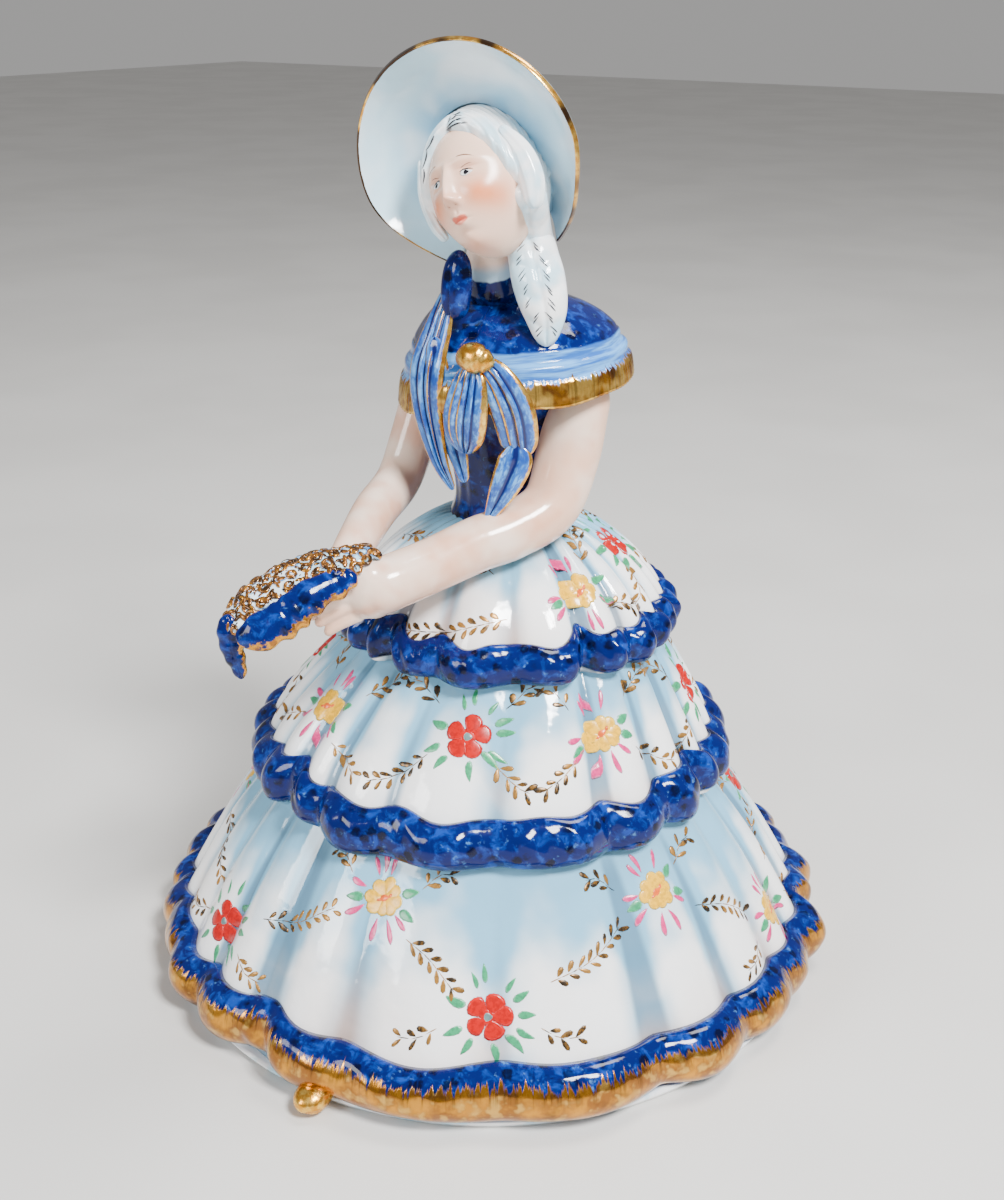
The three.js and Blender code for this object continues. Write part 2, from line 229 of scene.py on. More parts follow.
def sweep(path, facing, thick=1.0, count=64, around=40, relief=None, round_ends=True, **layers):
    """A rounded skin along a path of [x, y, z, half width] points, thick front to back as a share of
    its width. Relief gives how far the skin stands out, in millimetres, for each place along and
    angle round, where angle 0 is the middle of the front."""
    even = np.linspace(0, 1, count)
    along = 0.5 - 0.5 * np.cos(np.pi * even) if round_ends else even
    line = smooth_line(path, 400)
    walk = np.linspace(0, 1, 400)
    spine = np.column_stack([np.interp(along, walk, column) for column in line.T])
    centre, width = spine[:, :3], spine[:, 3]
    length = np.linalg.norm(np.diff(line[:, :3], axis=0), axis=1).sum()
    tangent = unit(np.gradient(line[:, :3], axis=0))
    tangent = unit(np.column_stack([np.interp(along, walk, column) for column in tangent.T]))
    front = np.asarray(facing, float)
    front = unit(front - tangent * (tangent @ front)[:, None])
    side = np.cross(tangent, front)
    if round_ends:
        reach = np.minimum(along, 1 - along) * length
        width = width * np.sqrt(1 - (1 - np.clip(reach / width, 0, 1)) ** 2)
    angle = np.linspace(0, math.tau, around, endpoint=False)
    out = width[:, None, None] * (
        side[:, None] * np.sin(angle)[None, :, None]
        + front[:, None] * np.cos(angle)[None, :, None] * thick
    )
    if relief is not None:
        fade = np.clip(width / max(width.max(), 1e-6) * 3, 0, 1)[:, None]
        out = out + unit(out) * (relief(along[:, None], angle[None, :]) * fade)[:, :, None]
    points = centre[:, None] + out
    layers = {"along": along[:, None], "across": np.sin(angle)[None, :], **layers}
    return skin(points, around=False, through=True, caps=not round_ends, **layers)


def limb(path, facing=(0, 0, 1), thick=1.0, count=48, around=28):
    return sweep(path, facing, thick, count, around)


# ---------------------------------------------------------------- writing node trees
class Value:
    """A socket in a node tree. Arithmetic on it adds Math nodes to the tree."""

    def __init__(self, tree, socket):
        self.tree, self.socket = tree, socket

    def math(self, operation, *values):
        return self.tree.node("ShaderNodeMath", {"operation": operation}, dict(enumerate(values)))

    def __add__(self, other):
        return self.math("ADD", self, other)

    def __sub__(self, other):
        return self.math("SUBTRACT", self, other)

    def __rsub__(self, other):
        return self.math("SUBTRACT", other, self)

    def __mul__(self, other):
        return self.math("MULTIPLY", self, other)

    def __truediv__(self, other):
        return self.math("DIVIDE", self, other)

    def __rtruediv__(self, other):
        return self.math("DIVIDE", other, self)

    def __neg__(self):
        return self.math("MULTIPLY", self, -1.0)

    def __abs__(self):
        return self.math("ABSOLUTE", self)

    def most(self, other):
        return self.math("MAXIMUM", self, other)

    __radd__ = __add__
    __rmul__ = __mul__


class Tree:
    """A node tree that is written one node at a time."""

    def __init__(self, tree):
        self.tree = tree
        tree.nodes.clear()

    def node(self, kind, settings=None, values=None, out=0):
        """Adds a node, with its settings made before its sockets are filled. Returns the output
        that out names, or a tuple of outputs."""
        node = self.tree.nodes.new(kind)
        for name, setting in (settings or {}).items():
            setattr(node, name, setting)
        for key, value in (values or {}).items():
            if isinstance(value, Value):
                self.tree.links.new(value.socket, node.inputs[key])
            else:
                node.inputs[key].default_value = value
        if isinstance(out, tuple):
            return tuple(Value(self, node.outputs[one]) for one in out)
        return Value(self, node.outputs[out]) if len(node.outputs) else None

    # What the painters below call on.
    def spot(self):
        return self.node("ShaderNodeTexCoord", out="Object")

    def layer(self, name):
        return self.node("ShaderNodeAttribute", {"attribute_name": name}, out="Fac")

    def mottle(self, size, detail=3.0, rough=0.55, warp=0.0, at=None):
        """Cloudy noise whose patches are about size millimetres across."""
        values = {"Vector": at or self.spot(), "Scale": 1 / (size * MM), "Detail": detail}
        values |= {"Roughness": rough, "Distortion": warp}
        return self.node("ShaderNodeTexNoise", None, values)

    def blots(self, size, loose=1.0, at=None):
        """Distance from the middle of scattered blots, 0 to about 1."""
        values = {"Vector": at or self.spot(), "Scale": 1 / (size * MM), "Randomness": loose}
        return self.node("ShaderNodeTexVoronoi", None, values)

    def step(self, value, low, high):
        """0 below low, 1 above high, and a soft edge between."""
        values = {"Value": value, "From Min": low, "From Max": high}
        return self.node("ShaderNodeMapRange", {"interpolation_type": "SMOOTHSTEP"}, values)

    def tint(self, mask, under, over):
        """One colour laid over another where mask is 1."""
        return self.node("ShaderNodeMix", {"data_type": "RGBA"}, {0: mask, 6: under, 7: over}, out=2)

    def bump(self, height, depth, strength=1.0):
        """A normal for a relief that is depth millimetres deep where height goes from 0 to 1."""
        values = {"Height": height, "Distance": depth * MM, "Strength": strength}
        return self.node("ShaderNodeBump", None, values)


def enamel(name, paint, **shader):
    """A material whose painter gives what varies over the surface; shader holds what doesn't."""
    material = bpy.data.materials.new(name)
    material.use_nodes = True
    tree = Tree(material.node_tree)
    varied = paint(tree)
    surface = tree.node("ShaderNodeBsdfPrincipled", None, {**shader, **varied})
    tree.node("ShaderNodeOutputMaterial", None, {"Surface": surface}, out=())
    return material


# ---------------------------------------------------------------- glazes
WHITE = (0.93, 0.94, 0.95, 1)
ICE = (0.2, 0.46, 0.65, 1)
PALE_ICE = (0.52, 0.75, 0.87, 1)
SKY = (0.02, 0.115, 0.43, 1)
PALE_SKY = (0.12, 0.38, 0.8, 1)
COBALT = (0.0011, 0.006, 0.085, 1)
MID_COBALT = (0.005, 0.042, 0.28, 1)
INK = (0.0004, 0.0008, 0.01, 1)
GOLD = (0.64, 0.28, 0.025, 1)
PALE_GOLD = (0.95, 0.6, 0.13, 1)
BROWN_GOLD = (0.3, 0.115, 0.022, 1)
DARK_GOLD = (0.06, 0.026, 0.008, 1)
SPRIG_INK = (0.03, 0.022, 0.014, 1)
SPRIG_GOLD = (0.34, 0.17, 0.04, 1)
PEACH_REFLECTION = (0.72, 0.42, 0.26, 1)
CREASE_SHADE_BLUE = (0.07, 0.16, 0.25, 1)
THROAT_BLUE = (0.45, 0.66, 0.82, 1)
FLESH = (0.82, 0.5, 0.35, 1)
PALE_FLESH = (0.9, 0.7, 0.58, 1)
PINK_FLESH = (0.74, 0.34, 0.2, 1)
FACE_FLESH = (0.86, 0.58, 0.44, 1)
CHEEK_RED = (0.76, 0.18, 0.035, 1)
FACE_SHADE = (0.45, 0.15, 0.07, 1)
LIP_RED = (0.7, 0.06, 0.02, 1)
TABLE_GREY = (0.6, 0.59, 0.57, 1)
PALE_TABLE = (0.64, 0.63, 0.61, 1)
GLAZE = {"IOR": 1.45, "Coat Weight": 0.4, "Coat Roughness": 0.03}
DEEP_GLAZE = {"IOR": 1.3, "Coat Weight": 0.25, "Coat Roughness": 0.03, "Coat IOR": 1.3}


def orange_peel(t, depth=0.24):
    """The slight unevenness that every poured glaze has."""
    return t.bump(t.mottle(6, 2), depth)


def cobalt_colours(t):
    """Cobalt dabbed on wet: pale washes, deep body colour and nearly black pools."""
    body = t.tint(t.step(t.mottle(3.2, 4, 0.6, 0.6), 0.47, 0.68), COBALT, MID_COBALT)
    washed = t.tint(t.step(t.mottle(1.6, 3, 0.6), 0.6, 0.8) * 0.45, body, PALE_SKY)
    pools = 1 - t.step(t.blots(3.4) + t.mottle(1.2, 3) * 0.5, 0.5, 0.72)
    clouds = t.step(t.mottle(8, 2), 0.36, 0.52)
    return t.tint(pools * clouds * 0.9, washed, INK)


def cobalt_glaze(t):
    return {"Base Color": cobalt_colours(t), "Roughness": 0.1, "Normal": orange_peel(t)}


def gilt_colours(t):
    worn = t.tint(t.step(t.mottle(1.6, 4, 0.6), 0.4, 0.66), GOLD, PALE_GOLD)
    return t.tint(t.step(t.mottle(0.9, 3), 0.6, 0.74) * 0.75, worn, BROWN_GOLD)


def gilding(t):
    rough = 0.16 + t.mottle(1.2, 3) * 0.2
    return {"Base Color": gilt_colours(t), "Roughness": rough, "Normal": t.bump(t.mottle(1.5, 3), 0.12)}


def gown_glaze(t):
    """White, with pale blue airbrushed from the top down into the folds round white reserves, dark blue
    painted shade along the deepest creases, and a peach painted reflection low in the folds.
    """
    rise = t.layer("rise") + (t.mottle(15, 2) - 0.5) * 0.55
    fold = t.step(t.layer("fold"), 0.2, 0.9)
    shade = t.step(rise + fold * 0.3, 0.42, 0.78)
    low = fold * t.step(t.mottle(24, 1), 0.38, 0.58) * 0.75
    colour = t.tint(shade.most(low), WHITE, ICE)
    # Painted shade: dark blue along the deepest creases of the pleats, fading out towards the top of the
    # tier.
    crease = t.step(t.layer("fold"), 0.66, 0.95) * (1 - t.step(t.layer("rise"), 0.75, 1.0)) * 0.75
    colour = t.tint(crease, colour, CREASE_SHADE_BLUE)
    # Painted reflection: patches of warm peach low on each tier, strongest in the folds.
    blush = t.step(t.mottle(30, 1), 0.5, 0.64) * (1 - t.step(t.layer("rise"), 0.15, 0.6)) * 0.55
    return {
        "Base Color": t.tint(blush * (0.3 + fold * 0.7), colour, PEACH_REFLECTION),
        "Roughness": 0.07 + t.mottle(8, 2) * 0.04,
        "Normal": orange_peel(t),
    }


def streaks_down(t, wide, long, detail=3.0):
    """Noise drawn out into strokes that run down a turned piece; wide and long are shares of its turn
    layer and its rise layer."""
    flow = t.node("ShaderNodeCombineXYZ", None, {0: t.layer("turn") / wide, 1: t.layer("rise") / long})
    values = {"Vector": flow, "Scale": 1.0, "Detail": detail, "Roughness": 0.6}
    return t.node("ShaderNodeTexNoise", None, values)


def fired_gold(t, bright):
    """Gold over a brown ground, in patches: the dark ones are partly where the brush ran thin and partly
    painted dark reflection, and the pale ones that bright gives are partly burnishing and partly painted
    highlight.
    """
    tone = t.tint(t.step(t.mottle(6, 3, 0.6), 0.34, 0.56), GOLD, BROWN_GOLD)
    tone = t.tint(t.step(t.mottle(9, 3, 0.6), 0.56, 0.72) * 0.7, tone, DARK_GOLD)
    return t.tint(bright, tone, PALE_GOLD)


def hem_glaze(t):
    """Cobalt above and gold below, met by ragged brush strokes, with a cobalt line at the foot."""
    ragged = streaks_down(t, 0.011, 0.9, 4.0)
    rise = t.layer("rise") + (ragged - 0.5) * 0.75
    foot = t.step(t.layer("rise") + (t.mottle(3, 2) - 0.5) * 0.03, 0.045, 0.07)
    gold = (1 - t.step(rise, 0.66, 0.72)) * foot
    strokes = t.step(ragged, 0.5, 0.62) * t.step(t.layer("rise"), 0.3, 0.7)
    # The pale patches handed to fired_gold here are partly painted highlight.
    fired = t.tint(strokes * 0.8, fired_gold(t, t.step(t.mottle(3, 2), 0.5, 0.7) * 0.5), DARK_GOLD)
    brushed = t.tint(t.step(streaks_down(t, 0.012, 0.8), 0.52, 0.7) * 0.6, cobalt_colours(t), COBALT)
    return {
        "Base Color": t.tint(gold, brushed, fired),
        "Metallic": gold * 0.95,
        "Roughness": 0.07 + gold * (0.05 + ragged * 0.16),
        "Normal": t.bump(t.mottle(6, 2) + gold * ragged * 0.35, 0.2),
    }


def cape_glaze(t):
    """Cobalt shoulder, a washed blue fold, and a gold fringe with a ragged upper edge."""
    down = 1 - t.layer("rise") + (t.mottle(7, 2) - 0.5) * 0.05
    fold = t.step(down, 0.62, 0.645)
    ragged = streaks_down(t, 0.045, 0.6, 4.0)
    gold = t.step(down + (ragged - 0.5) * 0.22, 0.82, 0.845)
    wash = t.tint(t.step(streaks_down(t, 0.7, 0.05), 0.38, 0.62), SKY, PALE_SKY)
    colour = t.tint(fold, cobalt_colours(t), wash)
    # Pale patches of gold, partly painted highlight.
    bright = t.step(t.mottle(4, 2), 0.4, 0.6) * 0.8
    fired = t.tint(t.step(ragged, 0.52, 0.64) * 0.5, fired_gold(t, bright), DARK_GOLD)
    return {
        "Base Color": t.tint(gold, colour, fired),
        "Metallic": gold * 0.95,
        "Roughness": 0.07 + gold * (0.05 + ragged * 0.14),
        "Normal": t.bump(t.mottle(6, 2) + gold * ragged * 0.4, 0.2),
    }


def ribbon_glaze(t):
    """Blue washed on in long strokes, thin over the folds, with gold along the edges and creases."""
    along, across = t.layer("along"), t.layer("across")
    drawn_out = {0: across * 0.006, 1: along * 0.009, 2: t.layer("front") * 0.002}
    flow = t.node("ShaderNodeCombineXYZ", None, drawn_out)
    streaks = t.mottle(1, 4, 0.6, 0.3, flow)
    body = t.tint(t.step(streaks, 0.42, 0.66), SKY, PALE_SKY)
    body = t.tint(t.step(t.mottle(3.4, 3), 0.48, 0.64) * 0.8, body, MID_COBALT)
    body = t.tint(t.step(t.layer("crease"), 0.2, 0.8), body, COBALT)
    ragged = (t.mottle(0.8, 2) - 0.5) * 0.16
    edge = t.step(abs(across) + ragged, 0.82, 0.88)
    line = t.step(t.layer("gilt") + ragged, 0.55, 0.75)
    gold = edge.most(line)
    return {
        "Base Color": t.tint(gold, body, gilt_colours(t)),
        "Metallic": gold * 0.92,
        "Roughness": 0.09 + gold * 0.1,
        "Normal": orange_peel(t),
    }


def white_glaze(t):
    shade = t.step(t.mottle(7, 2), 0.4, 0.65)
    return {
        "Base Color": t.tint(shade, WHITE, PALE_ICE),
        "Roughness": 0.12 + t.mottle(5, 2) * 0.05,
        "Normal": orange_peel(t),
    }


def bonnet_glaze(t):
    """Pale ice blue, deeper far in, with a thin line of gold worn to black along the rim."""
    far = t.step(t.layer("rise"), 0.0, 0.75)
    colour = t.tint(far, ICE, PALE_ICE)
    colour = t.tint(t.step(t.mottle(18, 2), 0.42, 0.62) * 0.6, colour, WHITE)
    rim = t.step(t.layer("rise") + (t.mottle(1.2, 2) - 0.5) * 0.012, 0.972, 0.98)
    worn = t.tint(t.step(t.mottle(14, 2), 0.42, 0.52), gilt_colours(t), DARK_GOLD)
    return {
        "Base Color": t.tint(rim, colour, worn),
        "Metallic": rim * 0.9,
        "Roughness": 0.1 + rim * 0.1,
        "Normal": orange_peel(t),
    }


def flesh_glaze(t):
    warm = t.tint(t.step(t.mottle(14, 2), 0.35, 0.65), FLESH, PALE_FLESH)
    pink = t.step(t.mottle(10, 2), 0.48, 0.68) * 0.55
    return {
        "Base Color": t.tint(pink, warm, PINK_FLESH),
        "Roughness": 0.14 + t.mottle(4, 2) * 0.05,
        "Normal": orange_peel(t, 0.12),
    }


def neck_glaze(t):
    """Flesh above, and the cobalt of the collar brought up round the throat with a pale blue edge."""
    along = t.layer("along") + (t.mottle(4, 2) - 0.5) * 0.08
    skin_tone = t.tint(t.step(t.mottle(8, 2), 0.35, 0.65), FLESH, PALE_FLESH)
    edge = t.tint(1 - t.step(along, 0.46, 0.6), skin_tone, THROAT_BLUE)
    return {
        "Base Color": t.tint(1 - t.step(along, 0.395, 0.415), edge, cobalt_colours(t)),
        "Roughness": 0.14 + t.mottle(4, 2) * 0.05,
        "Normal": orange_peel(t, 0.12),
    }


def face_glaze(t):
    """Flesh with a breath of colour on both cheeks, the eyelids and the chin, and red lips."""
    blush = t.layer("blush") * (0.8 + t.mottle(4, 2) * 0.4)
    tone = t.tint(blush, FACE_FLESH, CHEEK_RED)
    tone = t.tint(t.layer("shade"), tone, FACE_SHADE)
    tone = t.tint(t.layer("lips"), tone, LIP_RED)
    return {
        "Base Color": tone,
        "Roughness": 0.22 + t.mottle(3, 2) * 0.06,
        "Normal": orange_peel(t, 0.08),
    }


def plain_enamel(colour, edge):
    """Overglaze enamel laid in one stroke: thin and pale at its edge and full in the middle."""
    deep = tuple(c * 0.55 for c in colour[:3]) + (1,)

    def paint(t):
        body = t.step(t.layer("rise") + (t.mottle(0.7, 3) - 0.5) * 0.5, 0.1, 0.75)
        streak = t.step(t.mottle(0.9, 3), 0.42, 0.62) * 0.55
        return {
            "Base Color": t.tint(streak, t.tint(body, edge, colour), deep),
            "Alpha": t.step(t.layer("rise") + (t.mottle(0.5, 2) - 0.5) * 0.3, 0.0, 0.3),
            "Roughness": 0.16 + t.mottle(1, 2) * 0.1,
        }

    return paint


def gold_enamel(t):
    tone = t.tint(t.step(t.mottle(7, 2), 0.44, 0.58), SPRIG_INK, SPRIG_GOLD)
    return {
        "Base Color": t.tint(t.step(t.mottle(0.8, 2), 0.45, 0.65) * 0.3, tone, GOLD),
        "Alpha": t.step(t.layer("rise"), 0.0, 0.15),
        "Metallic": 0.45,
        "Roughness": 0.22 + t.mottle(1, 2) * 0.12,
    }


def lace_glaze(t):
    """Crusted lace: ice blue in its hollows and gold on its tops."""
    top = t.step(t.layer("rise") + (t.mottle(2.4, 2) - 0.5) * 1.6, -0.1, 0.1)
    brown = t.tint(t.step(t.mottle(1.8, 2), 0.42, 0.58), BROWN_GOLD, DARK_GOLD)
    brown = t.tint(t.step(t.mottle(1.2, 2), 0.54, 0.66) * 0.8, brown, GOLD)
    ice = t.tint(t.step(t.mottle(2, 2), 0.4, 0.6), PALE_SKY, PALE_ICE)
    return {
        "Base Color": t.tint(top, ice, brown),
        "Metallic": top * 0.7,
        "Roughness": 0.12 + top * 0.1,
        "Normal": t.bump(t.mottle(0.6, 2), 0.08),
    }


def ruffle_glaze(t):
    """Cobalt ruffle with gold dabbed along its lower edge."""
    low = t.step(-t.layer("across") + (t.mottle(1.8, 3) - 0.5) * 1.6, 0.62, 0.76)
    dabs = t.tint(t.step(t.mottle(1.5, 2), 0.45, 0.6), GOLD, BROWN_GOLD)
    return {
        "Base Color": t.tint(low, cobalt_colours(t), dabs),
        "Metallic": low * 0.8,
        "Roughness": 0.1,
        "Normal": orange_peel(t),
    }


def floor_paint(t):
    tone = t.tint(t.step(t.mottle(120, 2), 0.35, 0.65), TABLE_GREY, PALE_TABLE)
    return {"Base Color": tone, "Roughness": 0.5 + t.mottle(40, 2) * 0.1}


gown_white = enamel("gown_glaze", gown_glaze, **GLAZE)
cobalt = enamel("cobalt_glaze", cobalt_glaze, **DEEP_GLAZE)
hem_paint = enamel("hem_glaze", hem_glaze, **DEEP_GLAZE)
cape_paint = enamel("cape_glaze", cape_glaze, **DEEP_GLAZE)
ribbon_paint = enamel("ribbon_glaze", ribbon_glaze, **GLAZE)
white = enamel("white_glaze", white_glaze, **GLAZE)
bonnet_paint = enamel("bonnet_glaze", bonnet_glaze, **GLAZE)
flesh = enamel("flesh_glaze", flesh_glaze, **GLAZE)
neck_paint = enamel("neck_glaze", neck_glaze, **DEEP_GLAZE)
face_paint = enamel("face_glaze", face_glaze, IOR=1.5)
gilt = enamel("gilding", gilding, Metallic=0.95)
lace_paint = enamel("lace_glaze", lace_glaze, **GLAZE)
ruffle_paint = enamel("ruffle_glaze", ruffle_glaze, **DEEP_GLAZE)

# ---------------------------------------------------------------- gown
tier_places = [Place(f"{level}_skirt_tier") for level in ("lower", "middle", "upper")]
lower_tier = Outline(tier_places[0], [
    (1, 0.01), (0.983, 0.14), (0.947, 0.27), (0.815, 0.61), (0.677, 0.89), (0.625, 1),
])
middle_tier = Outline(tier_places[1], [
    (1, 0.02), (0.968, 0.17), (0.905, 0.36), (0.762, 0.65), (0.627, 0.89), (0.572, 1),
])
upper_tier = Outline(tier_places[2], [
    (1, 0.02), (0.97, 0.21), (0.89, 0.44), (0.73, 0.69), (0.52, 0.9), (0.35, 1), (0.22, 1.005),
])
OUTLINES = {"lower": lower_tier, "middle": middle_tier, "upper": upper_tier}
WAIST_HEIGHT = tier_places[2].high[2]
# Where each tier is caught up, in degrees round from her front to her left.
GATHERS = {"lower": (-4, 118, 236), "middle": (-19, 96, 214), "upper": (-11, 62, 170)}


def pleat(angle, share):
    """How deep the gown dips along its folds, which crowd together away from her front left."""
    apart = angle - math.radians(35)
    phase = 30 * angle - 9 * np.sin(apart) - 4.5 * np.sin(2 * apart)
    fold = 1 - np.sqrt(np.sin(phase / 2) ** 2 + 0.02)
    deep = 2.8 + 0.6 * wander(angle, 3, 5, 11)
    return np.clip(fold, 0, 1) * deep * (1 - 0.35 * share)


def gather_up(angle, gathers, width):
    """1 where the gown is caught up, falling away to both sides over width degrees."""
    total = 0
    for where in gathers:
        apart = (angle - math.radians(where) + math.pi) % math.tau - math.pi
        total = total + hump(np.degrees(apart), width)
    return total


def gown_point(outline, angle, share, proud=0.0, pleated=1.0, gathers=()):
    """A point on the gown; pleated is 0 for a place on its smooth shape."""
    radius, height = outline.at(share, proud)
    caught = gather_up(angle, gathers, 3) * 1.4 * (1 - share)
    radius = radius - pleated * pleat(angle, share) - pleated * caught
    lean = ease(height / WAIST_HEIGHT, 0.526, 0.806)
    x = radius * np.sin(angle) + lean * LEAN[0]
    y = -radius * np.cos(angle) + lean * LEAN[1]
    return np.stack(np.broadcast_arrays(x, y, height), axis=-1)


def make_tier(level, outline, facets):
    """A hollow tier of the gown, its wall thickened inwards."""
    outer_rows, inner_rows = 60, 16
    angle = np.linspace(-math.pi, math.pi, facets, endpoint=False)[:, None]
    share = np.r_[np.linspace(0, 1, outer_rows), np.linspace(1, 0, inner_rows)][None, :]
    proud = np.r_[np.zeros(outer_rows), np.full(inner_rows, -WALL)][None, :]
    points = gown_point(outline, angle, share, proud, gathers=GATHERS[level])
    fold = pleat(angle, share) / 2.2 + gather_up(angle, GATHERS[level], 4) * 0.5
    outside = proud == 0
    mesh = skin(points, rise=share * outside, fold=fold * outside, turn=angle)
    return settle(f"{level}_tier", mesh, gown_white, "white_porcelain", f"{level}_skirt_tier")


def make_band(level, outline, node, below, top, bulge, seed, material):
    """A ruffled roll along the foot of a tier: from below its edge, in millimetres, to a share."""
    facets, outer_rows, inner_rows = 960, 44, 12
    angle = np.linspace(-math.pi, math.pi, facets, endpoint=False)[:, None]
    t = np.r_[np.linspace(0, 1, outer_rows), np.linspace(1, 0, inner_rows)[1:-1]][None, :]
    outer = np.r_[np.ones(outer_rows), np.zeros(inner_rows - 2)][None, :]
    lift = gather_up(angle, GATHERS[level], 5.5) * 2.6
    foot = (-below + 0.45 * wander(angle, seed, 6, 18) + lift * 0.8) / outline.length
    head = top + (0.7 * wander(angle, seed + 1, 7, 22) + lift) / outline.length
    share = foot + (head - foot) * t
    arch = np.sin(np.pi * np.clip(t, 0, 1))
    body = 1 + 0.13 * wander(angle, seed + 2, 8, 26) - 0.35 * gather_up(angle, GATHERS[level], 2.2)
    twist = 0.22 * wander(angle + 0.12 * t, seed + 3, 30, 70) * arch
    proud = 0.1 + outer * (bulge * arch**0.5 * body + twist * arch)
    points = gown_point(outline, angle, share, proud, 1.0, GATHERS[level])
    mesh = skin(points, rise=t * outer, turn=angle)
    return settle(f"{level}_ruffle", mesh, material, "cobalt_glaze", node)


TIER_FACETS = {"lower": 900, "middle": 720, "upper": 600}
tiers = {level: make_tier(level, outline, TIER_FACETS[level]) for level, outline in OUTLINES.items()}
make_band("lower", lower_tier, "hem_band", 0.4, 0.2, 4.6, 11, hem_paint)
make_band("middle", middle_tier, "middle_band", 1.2, 0.215, 3.2, 21, cobalt)
make_band("upper", upper_tier, "upper_band", 0.4, 0.2, 2.6, 31, cobalt)

foot_place = Place("foot_ring")
foot_radius = foot_place.size[0] / 2
# The rim's section: how far out of the CAD ring, and how high.
foot_line = np.array([
    (-7, 0), (0.2, 0), (0.9, 0.3), (1.4, 1.2), (1.8, 2.2), (0.8, 2.4), (-7, 2.2), (-7.2, 1),
])
foot_angle = np.linspace(0, math.tau, 240, endpoint=False)[:, None]
foot_skin = np.stack(np.broadcast_arrays(
    (foot_radius + foot_line[:, 0]) * np.sin(foot_angle),
    (foot_radius + foot_line[:, 0]) * np.cos(foot_angle),
    foot_line[:, 1] + 0 * foot_angle,
), axis=-1)
settle("foot_rim", skin(foot_skin), white, "pale_blue_glaze", "foot_ring")

slipper_place = Place("slipper_toe")
slipper_path = slipper_place.path(
    (0.5, 1.6, 0.62, 3.4), (0.5, 0.8, 0.55, 4.0), (0.5, 0.25, 0.5, 3.6), (0.5, 0.0, 0.42, 2.6)
)
slipper = sweep(slipper_path, (0, 0, 1), 0.78, 48, 40, lambda v, a: -0.25 * hump(np.cos(a) + 0.35, 0.12))
settle("slipper", slipper, gilt, "gilding", "slipper_toe")

# ---------------------------------------------------------------- torso
bodice_place = Place("bodice")
torso_centre = bodice_place.at(0.5, 0.54, 0)
TORSO = Matrix.Rotation(math.radians(TORSO_TURN), 3, "Z")


def from_torso(points):
    """Points about the torso's own axis, turned and moved to where it stands."""
    return np.asarray(points) @ np.array(TORSO).T + (torso_centre[0], torso_centre[1], 0)


BUST_HEIGHT, BUST_SIDE = 148, 6.5


def swell_bust(x, y, z):
    """Swells the front of the bodice, and of what lies on it, over the bust."""
    swell = 3.4 * np.exp(-((z - BUST_HEIGHT) ** 2) / 70 - (np.abs(x) - BUST_SIDE) ** 2 / 40)
    return np.where(y < 0, y - swell * np.clip(-y / 8, 0, 1), y)


def make_bodice():
    """The bodice, hollow up to the foot of the neck."""
    outline = Outline(bodice_place, [
        (0.78, -0.03), (0.685, 0.075), (0.728, 0.215), (0.87, 0.42), (1, 0.6), (1.01, 0.715),
        (0.85, 0.845), (0.5, 0.935), (0.34, 1),
    ])
    outer = outline.line[::2]
    inner = np.column_stack(outline.at(np.linspace(0.93, 0, 30), -WALL))
    top = bodice_place.high[2]
    section = np.vstack([outer, [(0, top + 0.2)], [(0, top - 5)], inner])
    angle = np.linspace(0, math.tau, 220, endpoint=False)[:, None]
    radius, z = section[:, 0][None, :], section[:, 1][None, :] + 0 * angle
    crease = 0.25 * wander(angle, 51, 9, 22) * hump(z - 128, 14)
    radius = radius + np.where(radius > 3, crease, 0)
    x, y = radius * np.sin(angle), -radius * np.cos(angle) * TORSO_DEPTH
    y = swell_bust(x, y, z)
    mesh = skin(from_torso(np.stack([x, y, z], axis=-1)))
    return settle("bodice_shell", mesh, cobalt, "cobalt_glaze", "bodice")


CAPE_LINE = [(8.0, 166.8), (17.9, 163.5), (24.7, 158.6), (28.3, 152.1), (29.2, 147.4)]


